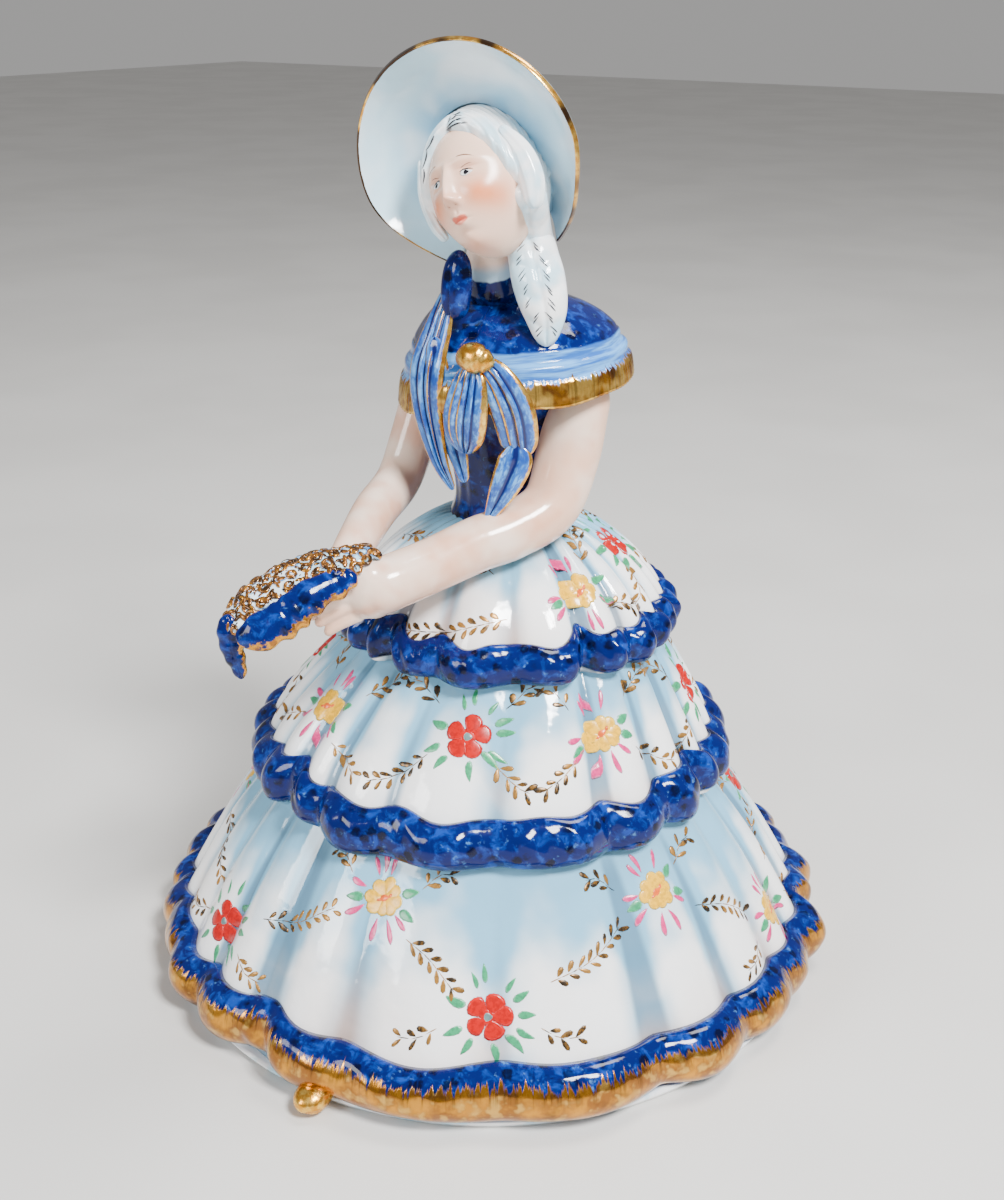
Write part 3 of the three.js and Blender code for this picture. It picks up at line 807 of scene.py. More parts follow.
def make_cape(side, node, seed):
    """Half of the cape, over one shoulder: side is 1 for her left, where the hem is carried up a little,
    and -1 for her right, where it droops. Both halves dip at the front."""
    rows, gap = 70, 0.001
    line = smooth_line(CAPE_LINE, rows, 2)
    slope = unit(np.gradient(line, axis=0))
    normal = np.column_stack([-slope[:, 1], slope[:, 0]])
    down = np.linspace(0, 1, rows)
    angle = np.linspace(gap, math.pi - gap, 200)[:, None]
    fold = 0.3 * np.sin(math.tau * 2 * (down - 0.6) / 0.24)
    fold = fold * ease(down, 0.6, 0.64) * (1 - ease(down, 0.82, 0.86))
    step = -0.3 * ease(down, 0.59, 0.62)
    fringe = 0.12 * np.sin(angle * 110 + 2 * np.sin(5 * angle)) * ease(down, 0.8, 0.86)[None, :]
    puff = 0.5 * wander(angle, seed, 3, 9) * ease(down, 0.1, 0.5)[None, :] * (1 - 0.6 * down)
    hem = 0.6 * wander(angle, seed + 1, 4, 10) * ease(down, 0.6, 1)[None, :]
    proud = fold[None, :] + step[None, :] + fringe + puff
    droop = (side < 0) * np.sin(angle)
    tip = (2.6 * np.clip(np.cos(angle), 0, 1) - (side > 0) * np.sin(angle)) * down**2
    radius = line[:, 0] + proud * normal[:, 0] - 3.2 * droop * ease(down, 0.1, 0.7)
    z = line[:, 1] + proud * normal[:, 1] + hem - 6.4 * droop * down**1.5 - tip
    thick = 0.3 + 2.0 * np.sqrt(np.clip(np.sin(np.pi * np.linspace(0.04, 0.93, rows)), 0, 1))
    inner_radius = radius - thick * normal[:, 0]
    inner_z = z - thick * normal[:, 1]
    radius = np.hstack([radius, inner_radius[:, ::-1]])
    z = np.hstack([z, inner_z[:, ::-1]])
    x, y = side * radius * np.sin(angle), -radius * np.cos(angle) * TORSO_DEPTH
    y = swell_bust(x, y, z) * 0.5 + y * 0.5
    rise = np.r_[1 - down, down * 0 + 0.02]
    points = from_torso(np.stack([x, y, z], axis=-1))
    mesh = skin(points, around=False, caps=True, rise=rise, turn=angle * side)
    return settle(node.replace("_sleeve", ""), mesh, cape_paint, "sky_blue_glaze", node)


make_bodice()
make_cape(1, "left_cape_sleeve", 61)
make_cape(-1, "right_cape_sleeve", 71)

# ---------------------------------------------------------------- head
head_centre = Place("head").at(0.5, 0.5, 0.5)
bonnet_centre = head_centre + (-1.4, 0.5, 1.2)
HEAD = (11.1, 12.4, 15.0)
FACE_SIZE = 1.06  # against the sizes that the face is drawn at
EYE = (4.1, -0.35)  # across and up from the middle of her face


def from_head(points):
    """Points in her head's own frame, looking along -y, turned and moved to where it is."""
    return np.asarray(points) @ np.array(HEAD_TURN).T + head_centre


def from_bonnet(points):
    """Points in her bonnet's own frame, turned and moved to where it is."""
    return np.asarray(points) @ np.array(BONNET_TURN).T + bonnet_centre


def bell(x, z, at, wide, tall):
    """1 at a place on her face, falling away over wide across and tall up."""
    return np.exp(-(((x - at[0]) / wide) ** 2) - ((z - at[1]) / tall) ** 2)


def both(x, z, at, wide, tall):
    """The same bell on both sides of her face."""
    return bell(x, z, at, wide, tall) + bell(x, z, (-at[0], at[1]), wide, tall)


def face_relief(x, z):
    """How far a calm, plain face stands forward of an egg, on the usual thirds and fifths."""
    bridge = ease(z, -6.6, -4.6) * (1 - ease(z, 0.5, 4.0))
    slope = np.interp(z, [-6.5, -4.6, 2.0, 4.0], [2.4, 2.7, 0.55, 0])
    nose = slope * bridge * hump(x, np.interp(z, [-5.5, 1.5], [1.25, 0.85]))
    wings = 0.9 * both(x, z, (1.25, -5.2), 0.75, 0.75)
    brow = 0.55 * both(x, z, (3.6, 2.2), 3.0, 0.9)
    socket = -1.15 * both(x, z, (3.9, -0.2), 2.3, 1.5)
    ball = 0.8 * both(x, z, EYE, 1.75, 0.95)
    lid = -0.22 * both(x, z, (4.1, 0.75), 1.9, 0.16) - 0.14 * both(x, z, (4.1, -1.35), 1.7, 0.14)
    cheek = 0.55 * both(x, z, (5.0, -5.0), 2.6, 2.6)
    muzzle = 0.7 * bell(x, z, (0, -8.4), 3.4, 2.3)
    philtrum = -0.15 * bell(x, z, (0, -6.9), 0.35, 0.6)
    upper_lip = 0.42 * both(x, z, (0.75, -7.95), 1.0, 0.38)
    lower_lip = 0.5 * bell(x, z, (0, -9.15), 1.35, 0.5)
    mouth = -0.5 * bell(x, z, (0, -8.5), 2.0, 0.2)
    chin = 1.15 * bell(x, z, (0, -12.2), 2.5, 1.7) - 0.35 * bell(x, z, (0, -10.5), 1.8, 0.55)
    parts = (nose, wings, brow, socket, ball, lid, cheek, muzzle, philtrum, upper_lip, lower_lip, mouth, chin)
    return sum(parts)


def make_head():
    """Her head: an egg with the face raised on it, its facets crowded towards the front."""
    u = np.linspace(-math.pi, math.pi, 340, endpoint=False)
    turn_angle = (u - 0.45 * np.sin(u))[:, None]
    tilt = np.linspace(0, math.pi, 260)[None, :]
    x = HEAD[0] * np.sin(tilt) * np.sin(turn_angle)
    y = -HEAD[1] * np.sin(tilt) * np.cos(turn_angle)
    z = HEAD[2] * np.cos(tilt) + 0 * turn_angle
    jaw = ease(-z, 3, 14)
    x = x * (1 - 0.12 * jaw)
    front = ease(-y, 1.0, 6.0)
    across, up = x / FACE_SIZE, z / FACE_SIZE
    relief = face_relief(across, up) * front * FACE_SIZE
    blush = 0.85 * both(across, up, (5.8, -4.8), 3.6, 3.2) + 0.25 * both(across, up, (4.1, 1.3), 2.4, 0.8)
    blush = blush + 0.3 * bell(across, up, (0, -12.8), 2.6, 1.6) + 0.2 * bell(across, up, (0, -4.6), 1.2, 1.0)
    blush = np.clip(blush, 0, 1) * front
    shade = 0.5 * both(across, up, (1.0, -5.9), 0.35, 0.22) + 0.3 * both(across, up, (4.1, 0.8), 1.9, 0.2)
    shade = shade + 0.35 * ease(-up, 11.5, 14.5) + 0.2 * both(across, up, (2.2, 0.2), 0.9, 1.6)
    shade = shade + 0.22 * bell(across, up, (0, -10.4), 1.8, 0.5)
    upper = ease(-7.6 - 0.12 * (across / 1.6) ** 2 - 0.25 * bell(across, 0, (0, 0), 0.5, 1) - up, 0, 0.35)
    lower = ease(up + 9.55 - 0.3 * across**2, 0, 0.35)
    lips = upper * lower * ease(1.95 - abs(across), 0, 0.5)
    lips = lips * (0.8 - 0.25 * bell(across, up, (0, -9.0), 0.9, 0.25)) * front
    points = np.stack(np.broadcast_arrays(x, y - relief, z), axis=-1)
    mesh = skin(from_head(points), through=False, blush=blush, shade=shade * front, lips=lips)
    return settle("face", mesh, face_paint, "bisque_flesh", "head")


HAIR = (12.7, 13.6, 16.4)
HAIR_CENTRE = (0, 1.0, 1.0)


def make_lock(side, path, widths, around, depth, waves):
    """A lock of hair down one cheek."""
    facing = from_head([(side, -0.6, 0)])[0] - head_centre
    line = np.column_stack([from_head(path), widths])
    return sweep(line, facing, 0.8, 60, around, lambda v, a: depth * np.sin(a * waves + 3 * v))


def make_hair():
    """Waved hair, parted in the middle, that meets the face along a soft oval, with a lock down each
    cheek."""
    turn_angle = np.linspace(-math.pi, math.pi, 320, endpoint=False)[:, None]
    tilt = np.linspace(0, math.pi, 220)[None, :]
    way = np.stack(np.broadcast_arrays(
        np.sin(tilt) * np.sin(turn_angle), -np.sin(tilt) * np.cos(turn_angle), np.cos(tilt) + 0 * turn_angle
    ), axis=-1)
    base = way * HAIR + HAIR_CENTRE
    x, y, z = base[..., 0], base[..., 1], base[..., 2]
    dip = 1.6 * hump(x, 2.2)
    oval = (x / (9.3 + 0.8 * ease(-z, 0, 8) + 1.7 * ease(x, 0, 6))) ** 2 + ((z + 4.2 - dip * 0.3) / 14.6) ** 2
    inside = (1 - ease(oval, 0.9, 1.08)) * ease(-y, 0, 3)
    comb = y + 0.22 * np.abs(x) + 0.12 * z
    strands = 0.16 * np.sin(comb * 4.4 + 1.2 * np.sin(0.5 * z))
    strands = strands + 0.1 * np.sin(comb * 9.1 + 2 * np.sin(0.35 * x))
    parting = -0.5 * hump(x, 0.5) * ease(z, 4, 8)
    puff = 0.7 * ease(oval, 0.98, 1.15) * (1 - ease(oval, 1.2, 1.9)) * ease(-y, 0, 3)
    out = 1 - 0.17 * inside - 0.24 * ease(-z, 5, 11) * (1 - ease(y, 3, 8)) * (1 - inside)
    points = (base - HAIR_CENTRE) * out[..., None] + HAIR_CENTRE
    points = points + way * (strands + parting + puff)[..., None]
    cap = skin(from_head(points), through=False)
    left_path = [(10.6, -6.0, 8.0), (12.9, -3.4, 2.5), (13.4, -2.0, -3.5), (12.6, -1.6, -9.5)]
    right_path = [(-8.6, -8.8, 7.5), (-10.8, -7.0, 1.0), (-10.7, -5.4, -5.0), (-9.6, -3.6, -9.0)]
    left = make_lock(1, left_path, (1.0, 2.2, 2.6, 1.8), 40, 0.1, 7)
    right = make_lock(-1, right_path, (1.0, 1.5, 1.5, 1.0), 32, 0.15, 6)
    return settle("hair_cap", gather([cap, left, right]), white, "white_porcelain", "hair")


def make_braid():
    """The plait that hangs from her hair on to her left shoulder."""
    place = Place("left_braid")
    root = np.array([[*from_head([(12.6, -2.6, -4.5)])[0], 3.6]])
    path = np.vstack([root, place.path(
        (0.24, 0.72, 0.98, 5.0), (0.38, 0.6, 0.8, 5.4), (0.56, 0.5, 0.56, 5.7),
        (0.72, 0.42, 0.3, 4.7), (0.8, 0.34, 0.0, 1.9),
    )])

    def plait(along, angle):
        front = np.clip(np.cos(angle), 0, 1)
        v_shape = np.abs(np.sin(np.pi * (6.5 * along + 0.55 * np.abs(np.sin(angle)))))
        return (0.42 * v_shape - 0.2) * front - 0.5 * hump(np.sin(angle), 0.12) * front

    mesh = sweep(path, (0.55, -0.8, 0.1), 0.72, 150, 96, plait)
    return settle("plait", mesh, white, "white_porcelain", "left_braid")


BRIM = [(10.5, 4.2), (12.5, 3.3), (16.5, 2.3), (20.8, 0.2), (24.9, -4.1)]
BRIM_RISE = 4.6


def make_brim():
    """A flared ring about the bonnet's axis, open under her chin and drawn in towards it; on her left
    it falls back behind the plait."""
    rows = 56
    line = smooth_line(BRIM, rows, 2)
    slope = unit(np.gradient(line, axis=0))
    out = np.linspace(0, 1, rows)
    turn_angle = np.linspace(-math.pi + 0.62, math.pi - 0.5, 300)[:, None]
    wave = (0.35 * np.sin(2 * turn_angle + 0.6) + 0.22 * np.sin(5 * turn_angle)) * out**2
    back_left = 7.5 * ease(turn_angle, 1.7, 2.7)
    thick = 1.15 * np.sqrt(np.clip(1 - np.clip((out - 0.965) / 0.035, 0, 1) ** 2, 0, 1)) + 0.05
    front = np.stack(np.broadcast_arrays(line[:, 0] + 0 * turn_angle, line[:, 1] + wave), axis=-1)
    back = front + np.stack([-slope[:, 1], slope[:, 0]], axis=-1) * thick[:, None]
    section = np.concatenate([front, back[:, ::-1]], axis=1)
    radius, y = section[..., 0], section[..., 1] + back_left
    z = radius * np.cos(turn_angle)
    drop = np.clip(-z / BRIM[-1][0], 0, None)
    pinch = 0.47 - 0.27 * ease(turn_angle, 1.5, 2.4)
    x = radius * np.sin(turn_angle) * (1 - pinch * drop**2)
    points = from_bonnet(np.stack([x, y, z + BRIM_RISE], axis=-1))
    rise = np.r_[out, out[::-1]]
    mesh = skin(points, around=False, caps=True, rise=rise)
    return settle("brim", mesh, bonnet_paint, "pale_blue_glaze", "bonnet_brim")


CROWN = (13.9, 15.5, 17.2)


def make_crown():
    """The bonnet's back: a gathered dome, its folds drawn to a small button."""
    rows = 70
    turn_angle = np.linspace(0, math.tau, 300, endpoint=False)[:, None]
    tilt = np.linspace(0.02, 1, rows) * math.pi / 2
    tilt = np.r_[tilt[::-1], tilt][None, :]
    inner = np.r_[np.zeros(rows), np.ones(rows)][None, :]
    folds = (1 - inner) * 0.4 * np.sin(18 * turn_angle + 1.5 * np.sin(3 * turn_angle)) * np.sin(tilt) ** 0.6
    roll = (1 - inner) * 0.9 * hump(tilt - 1.3, 0.09)
    reach = 1 - inner * 0.13 + (folds + roll) / 16
    x = CROWN[0] * reach * np.sin(tilt) * np.sin(turn_angle)
    z = CROWN[2] * reach * np.sin(tilt) * np.cos(turn_angle) + 2.2
    y = CROWN[1] * reach * np.cos(tilt) + 4.2 + 0 * turn_angle
    mesh = skin(from_bonnet(np.stack([x, y, z], axis=-1)), rise=0.5 * np.sin(tilt))
    button_path = from_bonnet([(0, 18.6, 2.2), (0, 20.6, 2.2)])
    button = sweep(np.column_stack([button_path, (2.2, 1.6)]), (0, 0, 1), 1, 24, 32)
    return settle("crown", gather([mesh, button]), bonnet_paint, "pale_blue_glaze", "bonnet_crown")


neck_place = Place("neck")
neck_path = neck_place.path(
    (0.47, 0.7, 0.0, 7.2), (0.48, 0.62, 0.2, 6.5), (0.5, 0.52, 0.42, 5.9), (0.52, 0.42, 0.7, 5.0),
    (0.55, 0.25, 1.15, 5.4),
)
settle("throat", limb(neck_path, (0, -1, 0), 0.95, 60, 60), neck_paint, "bisque_flesh", "neck")
face = make_head()
hair = make_hair()
plait = make_braid()
make_brim()
make_crown()


# ---------------------------------------------------------------- ribbons
def ribbon(path, facing, folds, depth, thick=0.3, gilt_folds=(), count=110, around=150):
    """A folded ribbon of clay along a path, its creases running lengthwise. gilt_folds says how far
    across, from -1 to 1, a gold line runs."""
    creases = np.linspace(-1, 1, folds + 2)[1:-1]

    def relief(along, angle):
        across, front = np.sin(angle), np.clip(np.cos(angle) * 3, 0, 1)
        dips = sum(hump(across - at, 0.42 / folds) for at in creases)
        return -depth * dips * front * ease(along, 0.02, 0.3)

    angle = np.linspace(0, math.tau, around, endpoint=False)[None, :]
    across, front = np.sin(angle), np.clip(np.cos(angle) * 3, 0, 1)
    crease = sum(hump(across - at, 0.3 / folds) for at in creases) * front
    lines = sum((hump(across - at, 0.07) for at in gilt_folds), 0 * across) * front
    layers = {"crease": crease, "gilt": lines, "front": np.cos(angle)}
    return sweep(path, facing, thick, count, around, relief, **layers)


shoulder_place = Place("shoulder_ribbon")
long_tail = ribbon(
    shoulder_place.path(
        (0.5, 0.95, 0.99, 1.9), (0.42, 0.62, 0.8, 3.8), (0.35, 0.3, 0.6, 4.9), (0.38, 0.2, 0.4, 4.2),
        (0.6, 0.14, 0.15, 2.5), (0.86, 0.13, 0.0, 0.8),
    ),
    (-0.1, -1, 0.25), 3, 0.75, 0.3, (0.33, -0.33),
)
short_tail = ribbon(
    shoulder_place.path(
        (0.45, 0.4, 0.76, 1.8), (0.53, 0.3, 0.6, 2.9), (0.66, 0.28, 0.42, 3.3), (0.82, 0.3, 0.25, 2.9),
        (1.0, 0.3, 0.04, 1.2),
    ),
    (0.2, -1, 0.1), 1, 0.5, 0.3,
)
settle("shoulder_tails", gather([long_tail, short_tail]), ribbon_paint, "sky_blue_glaze", "shoulder_ribbon")

left_place = Place("left_bow_loop")
left_loop = ribbon(
    left_place.path(
        (0.56, 0.6, 1.04, 2.4), (0.52, 0.35, 0.75, 4.8), (0.44, 0.25, 0.4, 5.7), (0.4, 0.4, 0.04, 4.2)
    ),
    (0, -1, 0.1), 4, 0.8, 0.42, (0.2, 0.62),
)
settle("left_loop", left_loop, ribbon_paint, "sky_blue_glaze", "left_bow_loop")

right_place = Place("right_bow_loop")
right_loop = ribbon(
    right_place.path(
        (0.05, 0.19, 1.0, 1.9), (0.42, 0.3, 0.88, 4.0), (0.7, 0.48, 0.7, 4.9), (0.76, 0.68, 0.5, 4.3),
        (0.76, 0.75, 0.4, 3.0),
    ),
    (0.35, -1, 0.1), 3, 0.7, 0.4, (0.5, -0.1),
)
right_tail = ribbon(
    right_place.path(
        (0.74, 0.62, 0.5, 2.8), (0.74, 0.5, 0.38, 3.8), (0.55, 0.26, 0.2, 3.0), (0.22, 0.08, -0.01, 0.7)
    ),
    (0.5, -1, 0.2), 1, 0.5, 0.3,
)
settle("right_loop", gather([right_loop, right_tail]), ribbon_paint, "sky_blue_glaze", "right_bow_loop")

knot_place = Place("breast_knot")
knot_path = knot_place.path(
    (-0.05, 0.45, 0.4, 1.9), (0.4, 0.38, 0.56, 3.1), (0.8, 0.42, 0.52, 3.0), (1.1, 0.6, 0.42, 1.9)
)
knot = sweep(
    knot_path, (0, -1, 0.2), 0.85, 60, 60, lambda v, a: -0.35 * hump(v - 0.72, 0.04) - 0.15 * np.sin(9 * v)
)
settle("knot", knot, gilt, "gilding", "breast_knot")

chin_place = Place("chin_bow")
chin_path = chin_place.path(
    (0.5, 0.66, 1.02, 2.0), (0.5, 0.5, 0.74, 3.3), (0.46, 0.42, 0.4, 3.5), (0.42, 0.42, 0.06, 2.6)
)
chin_loop = sweep(
    chin_path, (0.15, -1, 0.1), 0.66, 80, 80,
    lambda v, a: -0.5 * hump(np.sin(a) - 0.35, 0.16) * np.clip(np.cos(a) * 2, 0, 1) * ease(v, 0.1, 0.4),
)
settle("chin_ribbon", chin_loop, cobalt, "cobalt_glaze", "chin_bow")

# ---------------------------------------------------------------- arms and hands
left_arm_place, right_arm_place = Place("left_arm"), Place("right_arm")
FINGERS = (0.86, 1.0, 0.96, 0.78)  # how long each is, against the longest


def widened(*points):
    """Rows of [x, y, z, half width] from pairs of a place and a half width."""
    return np.array([[*place, width] for place, width in points])


def make_arm(name, node, path, aim, side, curl, palm, broad):
    """An arm that runs on into a palm, with four fingers and a thumb pressed to it. The fingers set
    off along aim, lie side by side across it and bend towards curl."""
    wrist, aim, side, curl = path[-1, :3], *(unit(np.array(way, float)) for way in (aim, side, curl))
    front = np.cross(aim, side)
    knuckles = wrist + aim * palm
    inside = widened(
        (wrist + aim * palm * 0.35, path[-1, 3] * 1.02), (wrist + aim * palm * 0.75, broad * 0.8),
        (knuckles, broad * 0.5),
    )
    parts = [limb(np.vstack([path, inside]), (0, 0, 1), 1, 130, 48)]
    heel = widened(
        (wrist - aim * 5, broad * 0.7), (wrist + aim * palm * 0.2, broad * 0.96),
        (wrist + aim * palm * 0.8, broad), (knuckles + aim * 2, broad * 0.75),
    )
    parts.append(limb(heel, front, 0.7, 60, 48))
    for finger, reach in enumerate(FINGERS):
        off = (finger - 1.5) * broad * 0.44
        base = knuckles + side * off - aim * 2
        middle = base + aim * 6.5 * reach + curl * 0.8
        tip = middle + aim * 4 * reach + curl * 2.0
        parts.append(limb(widened((base, 2.0), (middle, 1.7), (tip, 1.15)), front, 0.95, 24, 20))
    thumb = wrist + aim * palm * 0.35 + side * broad * 0.6
    bend = thumb + aim * 5 + side * 1.0
    tip = bend + aim * 4 - side * 0.8
    parts.append(limb(widened((thumb, 2.2), (bend, 1.8), (tip, 1.2)), front, 0.95, 24, 20))
    return settle(name, fuse(parts, 0.42, 8), flesh, "bisque_flesh", node)


left_path = left_arm_place.path(
    (0.8, 0.93, 1.1, 7.0), (0.8, 0.88, 0.9, 7.5), (0.8, 0.84, 0.66, 7.3), (0.79, 0.76, 0.43, 6.7),
    (0.68, 0.64, 0.33, 6.4), (0.57, 0.54, 0.29, 6.2), (0.46, 0.4, 0.235, 6.0), (0.37, 0.29, 0.2, 6.1),
)
right_path = right_arm_place.path(
    (0.4, 0.93, 1.1, 6.0), (0.36, 0.87, 0.88, 5.9), (0.31, 0.8, 0.6, 5.5), (0.3, 0.71, 0.35, 5.3),
    (0.5, 0.5, 0.26, 5.0), (0.7, 0.33, 0.17, 4.5), (0.76, 0.25, 0.1, 4.1),
)
make_arm(
    "left_hand_arm", "left_arm", left_path,
    aim=(-0.5, -0.84, -0.2), side=(0, -0.25, 0.97), curl=(-0.3, 0.1, -0.9), palm=10, broad=6.9,
)
make_arm(
    "right_hand_arm", "right_arm", right_path,
    aim=(-0.1, -0.85, -0.5), side=(-0.9, 0.2, 0.2), curl=(0.3, 0.1, -0.9), palm=6, broad=3.9,
)

# ---------------------------------------------------------------- fan
fan_place, border_place, guard_place = Place("fan_leaf"), Place("fan_border"), Place("fan_guard")
fan_face = (0.25, -0.3, 1)
fan_path = fan_place.path(
    (1.06, 1.1, 0.98, 0.9), (0.92, 1.0, 0.96, 3.0), (0.74, 0.8, 0.8, 5.6), (0.48, 0.5, 0.58, 6.6),
    (0.26, 0.24, 0.33, 5.6), (0.1, 0.03, 0.1, 2.8),
)
fan = sweep(
    fan_path, fan_face, 0.5, 110, 90,
    lambda v, a: 0.3 * np.sin(26 * v) * np.clip(np.cos(a), 0, 1), rise=np.array([[0.5]]),
)
settle("fan", fan, bonnet_paint, "pale_blue_glaze", "fan_leaf")

border_path = border_place.path(
    (1.0, 1.0, 1.0, 1.8), (0.89, 0.88, 0.92, 2.9), (0.725, 0.6, 0.79, 3.7), (0.526, 0.35, 0.49, 4.1),
    (0.31, 0.12, 0.32, 3.7), (0.13, 0.02, 0.26, 2.2),
)
border = sweep(
    border_path, (0.75, -0.6, 0.5), 0.5, 160, 70,
    lambda v, a: 0.4 * np.sin(40 * v + 1.5 * np.sin(11 * v)) * (0.4 + 0.6 * np.clip(-np.sin(a), 0, 1)),
)
settle("fan_ruffle", border, ruffle_paint, "cobalt_glaze", "fan_border")

guard_path = guard_place.path(
    (0.42, 0.5, 1.32, 1.6), (0.4, 0.5, 1.05, 2.7), (0.46, 0.5, 0.65, 2.5), (0.62, 0.62, 0.28, 1.8),
    (0.7, 0.7, 0.0, 0.9),
)
guard = sweep(
    guard_path, (0.6, -0.8, 0), 0.7, 80, 60,
    lambda v, a: -0.3 * hump(np.sin(a), 0.15) + 0.12 * np.sin(30 * v),
)
settle("fan_tip", guard, ruffle_paint, "cobalt_glaze", "fan_guard")

# ---------------------------------------------------------------- lace and brushwork by Geometry Nodes
def new_growth(name, *inputs):
    """A Geometry Nodes tree with named inputs; returns its writer and its inputs."""
    group = bpy.data.node_groups.new(name, "GeometryNodeTree")
    tree = Tree(group)
    face = group.interface
    face.new_socket("Geometry", in_out="INPUT", socket_type="NodeSocketGeometry")
    for label, kind in inputs:
        face.new_socket(label, in_out="INPUT", socket_type=f"NodeSocket{kind}")
    face.new_socket("Geometry", in_out="OUTPUT", socket_type="NodeSocketGeometry")
    given = tree.node("NodeGroupInput", out=("Geometry", *(label for label, _ in inputs)))
    return tree, given


def end_growth(tree, geometry, material):
    """Glazes what a tree has grown, sends it out and returns the node group."""
    done = tree.node("GeometryNodeSetMaterial", None, {"Geometry": geometry, "Material": material})
    tree.node("NodeGroupOutput", None, {0: done}, out=())
    return tree.tree


def grow(name, start, group, **inputs):
    """The mesh that a tree makes from a starting mesh, with the tree's named inputs filled in."""
    seed = hold(name, start)
    growth = seed.modifiers.new("growth", "NODES")
    growth.node_group = group
    for item in group.interface.items_tree:
        if item.in_out == "INPUT" and item.name in inputs:
            growth[item.identifier] = inputs[item.name]
    return baked(seed)


def store(tree, geometry, name, value, kind="FLOAT"):
    values = {"Geometry": geometry, "Name": name, "Value": value}
    return tree.node("GeometryNodeStoreNamedAttribute", {"data_type": kind}, values)


def named(tree, name, kind="FLOAT"):
    return tree.node("GeometryNodeInputNamedAttribute", {"data_type": kind}, {"Name": name})


def vector(tree, operation, *values, out=0):
    return tree.node("ShaderNodeVectorMath", {"operation": operation}, dict(enumerate(values)), out=out)


def scaled(tree, way, scale):
    values = {0: way, "Scale": scale}
    return tree.node("ShaderNodeVectorMath", {"operation": "SCALE"}, values)


def brush_tree():
    """Presses one stroke of enamel on to the canvas at each point that it is given. A stroke starts as a
    flattened ball, which is narrowed to a point at its head, bent and laid on the nearest glaze."""
    tree, (points, canvas, facets, relief, material) = new_growth(
        "brush_strokes", ("Canvas", "Object"), ("Facets", "Int"), ("Relief", "Float"), ("Enamel", "Material")
    )
    ball = {"Segments": facets, "Rings": 4, "Radius": 1.0}
    dab = tree.node("GeometryNodeMeshUVSphere", None, ball, out="Mesh")
    where = tree.node("GeometryNodeInputPosition")
    x, y, z = tree.node("ShaderNodeSeparateXYZ", None, {0: where}, out=("X", "Y", "Z"))
    dab = store(tree, dab, "rise", z)
    dab = store(tree, dab, "along", x)
    narrowed = y * (1 - tree.node("ShaderNodeMapRange", None, {0: x, 1: -0.4, 2: 1.0, 3: 0.0, 4: 0.6}))
    shaped = tree.node("ShaderNodeCombineXYZ", None, {0: x, 1: narrowed, 2: z})
    dab = tree.node("GeometryNodeSetPosition", None, {"Geometry": dab, "Position": shaped})
    heading, facing = named(tree, "heading", "FLOAT_VECTOR"), named(tree, "facing", "FLOAT_VECTOR")
    settings = {"primary_axis": "X", "secondary_axis": "Z"}
    turn = tree.node("FunctionNodeAxesToRotation", settings, {0: heading, 1: facing})
    halves = {0: named(tree, "long") * 0.5, 1: named(tree, "broad") * 0.5, 2: relief}
    size = tree.node("ShaderNodeCombineXYZ", None, halves)
    values = {"Points": points, "Instance": dab, "Rotation": turn, "Scale": size}
    strokes = tree.node("GeometryNodeInstanceOnPoints", None, values)
    strokes = tree.node("GeometryNodeRealizeInstances", None, {0: strokes})
    sideways = vector(tree, "CROSS_PRODUCT", facing, heading)
    bend = named(tree, "curl") * named(tree, "long") * named(tree, "along") * named(tree, "along")
    values = {"Geometry": strokes, "Offset": scaled(tree, sideways, bend)}
    strokes = tree.node("GeometryNodeSetPosition", None, values)
    settings = {"transform_space": "ORIGINAL"}
    ground = tree.node("GeometryNodeObjectInfo", settings, {"Object": canvas}, out="Geometry")
    here = tree.node("GeometryNodeInputPosition")
    near = tree.node("GeometryNodeProximity", {"target_element": "FACES"}, {0: ground}, out="Position")
    settings = {"data_type": "FLOAT_VECTOR"}
    values = {"Mesh": ground, "Value": tree.node("GeometryNodeInputNormal"), "Sample Position": here}
    out = tree.node("GeometryNodeSampleNearestSurface", settings, values)
    lain = vector(tree, "ADD", near, scaled(tree, out, named(tree, "rise") * relief))
    strokes = tree.node("GeometryNodeSetPosition", None, {"Geometry": strokes, "Position": lain})
    return end_growth(tree, strokes, material)


class Brush:
    """Strokes of one enamel, gathered from all over her and painted in one go."""

    def __init__(self, name, material, slot, facets=12, relief=0.09):
        self.name, self.material, self.slot = name, material, slot
        self.facets, self.relief, self.strokes = facets, relief, []

    def stroke(self, spot, x, y, degrees, long, broad, curl=0.0):
        """A stroke centred x across and y up from a spot, heading degrees anticlockwise from across."""
        centre, across, up, out = spot
        angle = math.radians(degrees)
        heading = across * math.cos(angle) + up * math.sin(angle)
        self.strokes.append((centre + across * x + up * y, heading, out, long, broad, curl))

    def paint(self, canvas, tree):
        """Grows all the strokes from a mesh that holds one point for each."""
        mesh = bpy.data.meshes.new(self.name)
        mesh.from_pydata([tuple(s[0] * MM) for s in self.strokes], [], [])
        for name, column, scale in (("long", 3, MM), ("broad", 4, MM), ("curl", 5, 1)):
            layer = mesh.attributes.new(name, "FLOAT", "POINT")
            layer.data.foreach_set("value", np.array([s[column] * scale for s in self.strokes], np.float32))
        for name, column in (("heading", 1), ("facing", 2)):
            layer = mesh.attributes.new(name, "FLOAT_VECTOR", "POINT")
            layer.data.foreach_set("vector", np.array([s[column] for s in self.strokes], np.float32).ravel())
        grown = grow(
            self.name, mesh, tree,
            Canvas=canvas, Facets=self.facets, Relief=self.relief * MM, Enamel=self.material,
        )
        grown.shade_smooth()
        return settle(self.name, grown, self.material, self.slot)


def enamel_brush(name, colour, edge, slot="white_porcelain", facets=12, relief=0.09):
    return Brush(name, enamel(name, plain_enamel(colour, edge), IOR=1.5), slot, facets, relief)


